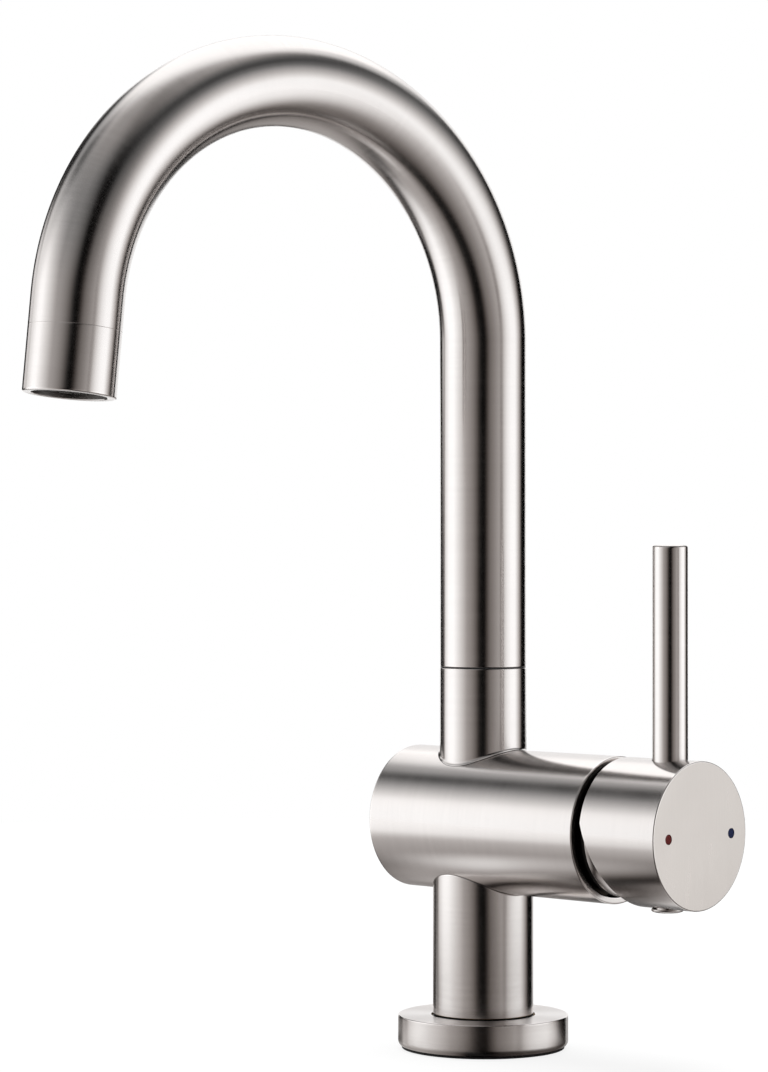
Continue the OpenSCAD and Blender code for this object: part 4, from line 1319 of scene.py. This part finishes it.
@dataclass
class Studio:
    """The plain floor, the soft light tent around the tap and the camera.

    The tent's windows are (left, right, low, high) in degrees. Warmth is given as
    (elevation, warmth), and tint says how much it takes from red, green and blue.
    """

    camera_at: Triple = (0.6544, -0.73916, 0.15024)
    heading: float = 43.211
    lens: float = 112.67
    tent_r: float = 3.0
    tent_middle: float = 0.12
    tent_seam: float = -157.5
    tent_step: float = 1.5
    windows: tuple[tuple[float, float, float, float], ...] = (
        (148, 184, -4, 30),
        (184, 190, -14, 30),
        (190, 202, -14, 4),
    )
    card_r: float = 0.82
    card_middle: float = 0.18
    card_segments: int = 120
    card_z: float = -0.0001
    glaze_colour: tuple[float, ...] = (0.95, 0.94, 0.93, 1.0)
    glaze_roughness: float = 0.05
    glaze_ior: float = 1.55
    floor_r: float = 0.8
    floor_z: float = -0.0002
    floor_colour: tuple[float, ...] = (0.86, 0.86, 0.86, 1.0)
    floor_white: float = 0.86
    room_light: float = 0.6
    top_power: float = 48.0
    top_size: float = 1.6
    top_h: float = 2.0
    brightest: float = 1.42
    warmth: tuple[tuple[float, float], ...] = (
        (-8, 1.5), (0, 2.0), (12, 1.3), (32, -0.2), (48, -0.2), (60, 0.8),
    )
    tint: Triple = (0.0, 0.037, 0.057)
    lights: tuple[SoftPanel | RoundLamp, ...] = (
        # The big panel on the left, then the wide glow under and around it.
        SoftPanel(
            ((-130.5, 0), (-121.5, 1), (-93, 1), (-46.5, 0)),
            ((-47, 0), (-37, 0.65), (-14, 1), (20, 1), (43, 0)),
            1.02,
        ),
        SoftPanel(
            ((-122, 0), (-101, 1), (-52, 0.88), (-35, 0.58), (-25, 0.34), (-17, 0.1), (-13, 0)),
            ((-90, 0.84), (-64, 0.84), (-30, 1.1), (12, 1), (34, 0.5), (44, 0.46), (75, 0.2)),
            0.55,
            0.7,
        ),
        # The panel on the right and its wide glow.
        SoftPanel(
            ((48, 0), (58, 0.36), (66, 0.72), (80, 1), (93, 1), (121, 0)),
            ((-38, 0), (-16, 1), (6, 1), (20, 0.4), (34, 0)),
            0.88,
        ),
        SoftPanel(
            ((2, 0), (6, 0.1), (15, 0.41), (25, 0.55), (46, 1), (90, 1), (120, 0)),
            (
                (-85, 0.1), (-60, 0.25), (-45, 0.5), (-22, 1),
                (5, 1), (24, 0.6), (42, 0.12), (50, 0.12),
            ),
            0.58,
            0.7,
        ),
        # The table close to the tap's foot.
        SoftPanel(
            (
                (-168, 0), (-152, 0.75), (-122, 0.7), (-108, 0.28), (-94, 0.82), (-80, 1),
                (-66, 0.28), (-50, 0.32), (-30, 0.33), (-14, 0.22), (-6, 0.04), (2, 0.04),
                (15, 0.45), (25, 0.55), (46, 1.15), (66, 1.4), (85, 1.85), (94, 1.4),
                (102, 0.2), (108, 0),
            ),
            ((-79.5, 0), (-75, 1), (-71, 1), (-64, 0)),
            0.65,
        ),
        # A thin shading strip at the right panel's edge.
        SoftPanel(
            ((43, 0), (46, 1), (52, 1), (55, 0)),
            ((-12, 0), (-6, 1), (3, 1), (9, 0)),
            -0.34,
        ),
        # The ceiling, all around and behind.
        SoftPanel(((-180, 1), (180, 1)), ((44, 0), (62, 1), (90, 1.3)), 0.2),
        SoftPanel(
            ((-180, 1), (-125, 1), (-75, 0), (40, 0), (80, 0.5), (120, 1), (180, 1)),
            ((50, 0), (64, 1), (90, 0.6)),
            0.45,
        ),
        # The table behind the tap.
        SoftPanel(
            (
                (-180, 1.1), (-165, 1.3), (-155, 1.2), (-146, 0.3),
                (-139, 0), (150, 0), (160, 0.7), (180, 1.1),
            ),
            ((-80, 0.2), (-60, 0.5), (-40, 0.9), (-16, 1), (-10, 0)),
            0.33,
        ),
        RoundLamp(-135.5, 11.5, 8.5, 5.0, 0.9),
        RoundLamp(-130.5, 47.5, 9.5, 9.0, 0.46),
        RoundLamp(-169.0, 24.0, 8.0, 6.0, 1.35),
        RoundLamp(176.0, 53.0, 24.0, 13.0, 1.2),
        RoundLamp(167.5, 61.5, 33.0, 9.0, 0.7),
    )

    @property
    def directions(self) -> tuple[np.ndarray, np.ndarray]:
        """The level directions towards the camera and to the camera's right."""
        turn = math.radians(self.heading)
        front = np.array([math.sin(turn), -math.cos(turn), 0.0])
        return front, np.array([math.cos(turn), math.sin(turn), 0.0])

    def make_camera(self) -> None:
        """Sets the camera where the photograph was taken from."""
        data = bpy.data.cameras.new("studio_camera")
        data.lens = self.lens
        data.sensor_width = 36.0
        data.clip_start = 0.01
        camera = add_object("studio_camera", data)
        camera.location = self.camera_at
        camera.rotation_euler = (math.radians(90.0), 0.0, math.radians(self.heading))
        bpy.context.scene.camera = camera

    def glow(self, points: np.ndarray, middle: float) -> np.ndarray:
        """Gives the light that comes from points around the tap.

        Args:
            points: The points, in metres.
            middle: Height of the point that directions are counted from.

        Returns:
            The light at each point, as red, green and blue, warmer where it is weak.
        """
        way = points - np.array([0.0, 0.0, middle])
        way = way / np.linalg.norm(way, axis=-1, keepdims=True)
        front, right = self.directions
        azimuth = np.degrees(np.arctan2(way @ right, way @ front))
        elevation = np.degrees(np.arcsin(np.clip(way[..., 2], -1.0, 1.0)))
        light = sum(lamp.glow(azimuth, elevation) for lamp in self.lights)
        light = np.minimum(light, self.brightest)
        warmth = np.interp(elevation, *zip(*self.warmth))
        return np.stack([light ** (1.0 + tint * warmth) for tint in self.tint], axis=-1)

    def make_tent(self) -> None:
        """Makes the light tent, open behind the tap to the white background."""
        azimuths = np.arange(self.tent_seam, self.tent_seam + 360.1, self.tent_step)
        elevations = np.concatenate([[-89.9], np.arange(-80.0, 89.0, 2.0), [89.9]])
        turn, rise = np.radians(azimuths)[:, None], np.radians(elevations)[:, None, None]
        front, right = self.directions
        level = np.cos(turn) * front + np.sin(turn) * right
        points = (np.cos(rise) * level + np.sin(rise) * UP) * self.tent_r
        points = points + np.array([0.0, 0.0, self.tent_middle])
        a, e = np.meshgrid(azimuths[:-1], elevations[:-1])
        wall = np.ones(a.shape, bool)
        for left, right_end, low, high in self.windows:
            wall &= ~((left <= a) & (a < right_end) & (low <= e) & (e < high))
        index = np.arange(len(elevations) * len(azimuths)).reshape(len(elevations), -1)
        faces = net_faces(index)[wall]
        self.add_light_card("light_tent", points, faces, self.tent_middle, False)

    def make_table_card(self) -> None:
        """Makes the card on the table that shades the tap's reflection of the floor."""
        radii = np.concatenate([[0.001], np.geomspace(0.02, self.card_r, 28)])[:, None]
        turn = circle_angles(self.card_segments)
        x, y = radii * np.cos(turn), radii * np.sin(turn)
        points = np.stack([x, y, np.full(x.shape, self.card_z)], axis=-1)
        index = np.pad(np.arange(x.size).reshape(x.shape), ((0, 0), (0, 1)), "wrap")
        faces = net_faces(index.T).swapaxes(0, 1)
        self.add_light_card("table_card", points, faces, self.card_middle, True)

    def add_light_card(
        self, name: str, points: np.ndarray, faces: np.ndarray, middle: float, glazed: bool
    ) -> None:
        """Adds a glowing card that only reflections and soft light see.

        Args:
            name: Name of the card.
            points: Its points, in metres.
            faces: The four point numbers of each face.
            middle: Height of the point that its light is counted from.
            glazed: Whether it mirrors the tent as a glossy table does, and leaves matt
                pieces alone.
        """
        flat = points.reshape(-1, 3)
        mesh = bpy.data.meshes.new(name)
        mesh.from_pydata(flat.tolist(), [], faces.reshape(-1, 4).tolist())
        store_vectors(mesh, "glow", self.glow(flat, middle))
        card = add_object(name, mesh)
        card.visible_camera = False
        card.visible_shadow = False
        card.visible_transmission = False
        card.visible_diffuse = not glazed
        made, nodes = new_material(name)
        light = nodes.attribute("glow", "Vector")
        shader = nodes.add("ShaderNodeEmission", None, Color=light, Strength=1.0).outputs[0]
        if glazed:
            glaze = {"Color": self.glaze_colour, "Roughness": self.glaze_roughness}
            mirror = nodes.add("ShaderNodeBsdfGlossy", None, **glaze)
            sheen = nodes.add("ShaderNodeFresnel", None, IOR=self.glaze_ior)
            shader = nodes.mixed(sheen.outputs[0], shader, mirror.outputs[0])
        nodes.show(shader)
        mesh.materials.append(made)

    def make_floor(self) -> None:
        """Lays a plain pale floor that keeps the tap's soft shadow."""
        mesh = bpy.data.meshes.new("studio_floor")
        x, y = (self.floor_r * wave(circle_angles(180)) for wave in (np.cos, np.sin))
        rim = np.stack([x, y, np.full(x.shape, self.floor_z)], axis=-1)
        mesh.from_pydata(rim.tolist(), [], [tuple(range(len(rim)))])
        floor = add_object("studio_floor", mesh)
        made, nodes = new_material("studio_floor_pale")
        matt = nodes.add("ShaderNodeBsdfDiffuse", None, Color=self.floor_colour)
        white = nodes.add("ShaderNodeEmission", None, Color=WHITE, Strength=1.0)
        share = nodes.white_share(self.floor_white)
        nodes.show(nodes.mixed(share, matt.outputs[0], white.outputs[0]))
        mesh.materials.append(made)

    def make_world(self) -> None:
        """Makes the white background that the camera and the metal see."""
        world = bpy.data.worlds.new("studio_white")
        bpy.context.scene.world = world
        world.use_nodes = True
        nodes = Nodes(world.node_tree)
        soft, white = (
            nodes.add("ShaderNodeBackground", None, Color=WHITE, Strength=strength)
            for strength in (self.room_light, 1.0)
        )
        mix = nodes.mixed(nodes.white_share(1.0), soft.outputs[0], white.outputs[0])
        nodes.show(mix, "ShaderNodeOutputWorld")

    def make_top_light(self) -> None:
        """Hangs a wide soft light over the tap for the floor and the matt pieces."""
        data = bpy.data.lights.new("top_light", "AREA")
        data.shape = "DISK"
        data.size = self.top_size
        data.energy = self.top_power
        light = add_object("top_light", data)
        light.location = (0.0, 0.0, self.top_h)
        light.visible_glossy = False

    def make(self) -> None:
        """Makes the camera, the floor and the light."""
        self.make_camera()
        self.make_floor()
        self.make_world()
        self.make_tent()
        self.make_table_card()
        self.make_top_light()
        bpy.context.scene.view_settings.view_transform = "Standard"


def main() -> None:
    """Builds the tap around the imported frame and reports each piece."""
    logging.basicConfig(level=logging.INFO, format="%(name)s: %(message)s")
    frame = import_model()
    Base().make()
    Barrel().make()
    Spout().make()
    cartridge = Cartridge()
    cartridge.make_cover()
    Handle().make()
    cartridge.dress_packed(frame["nodes"])
    Studio().make()


if __name__ == "__main__":
    main()
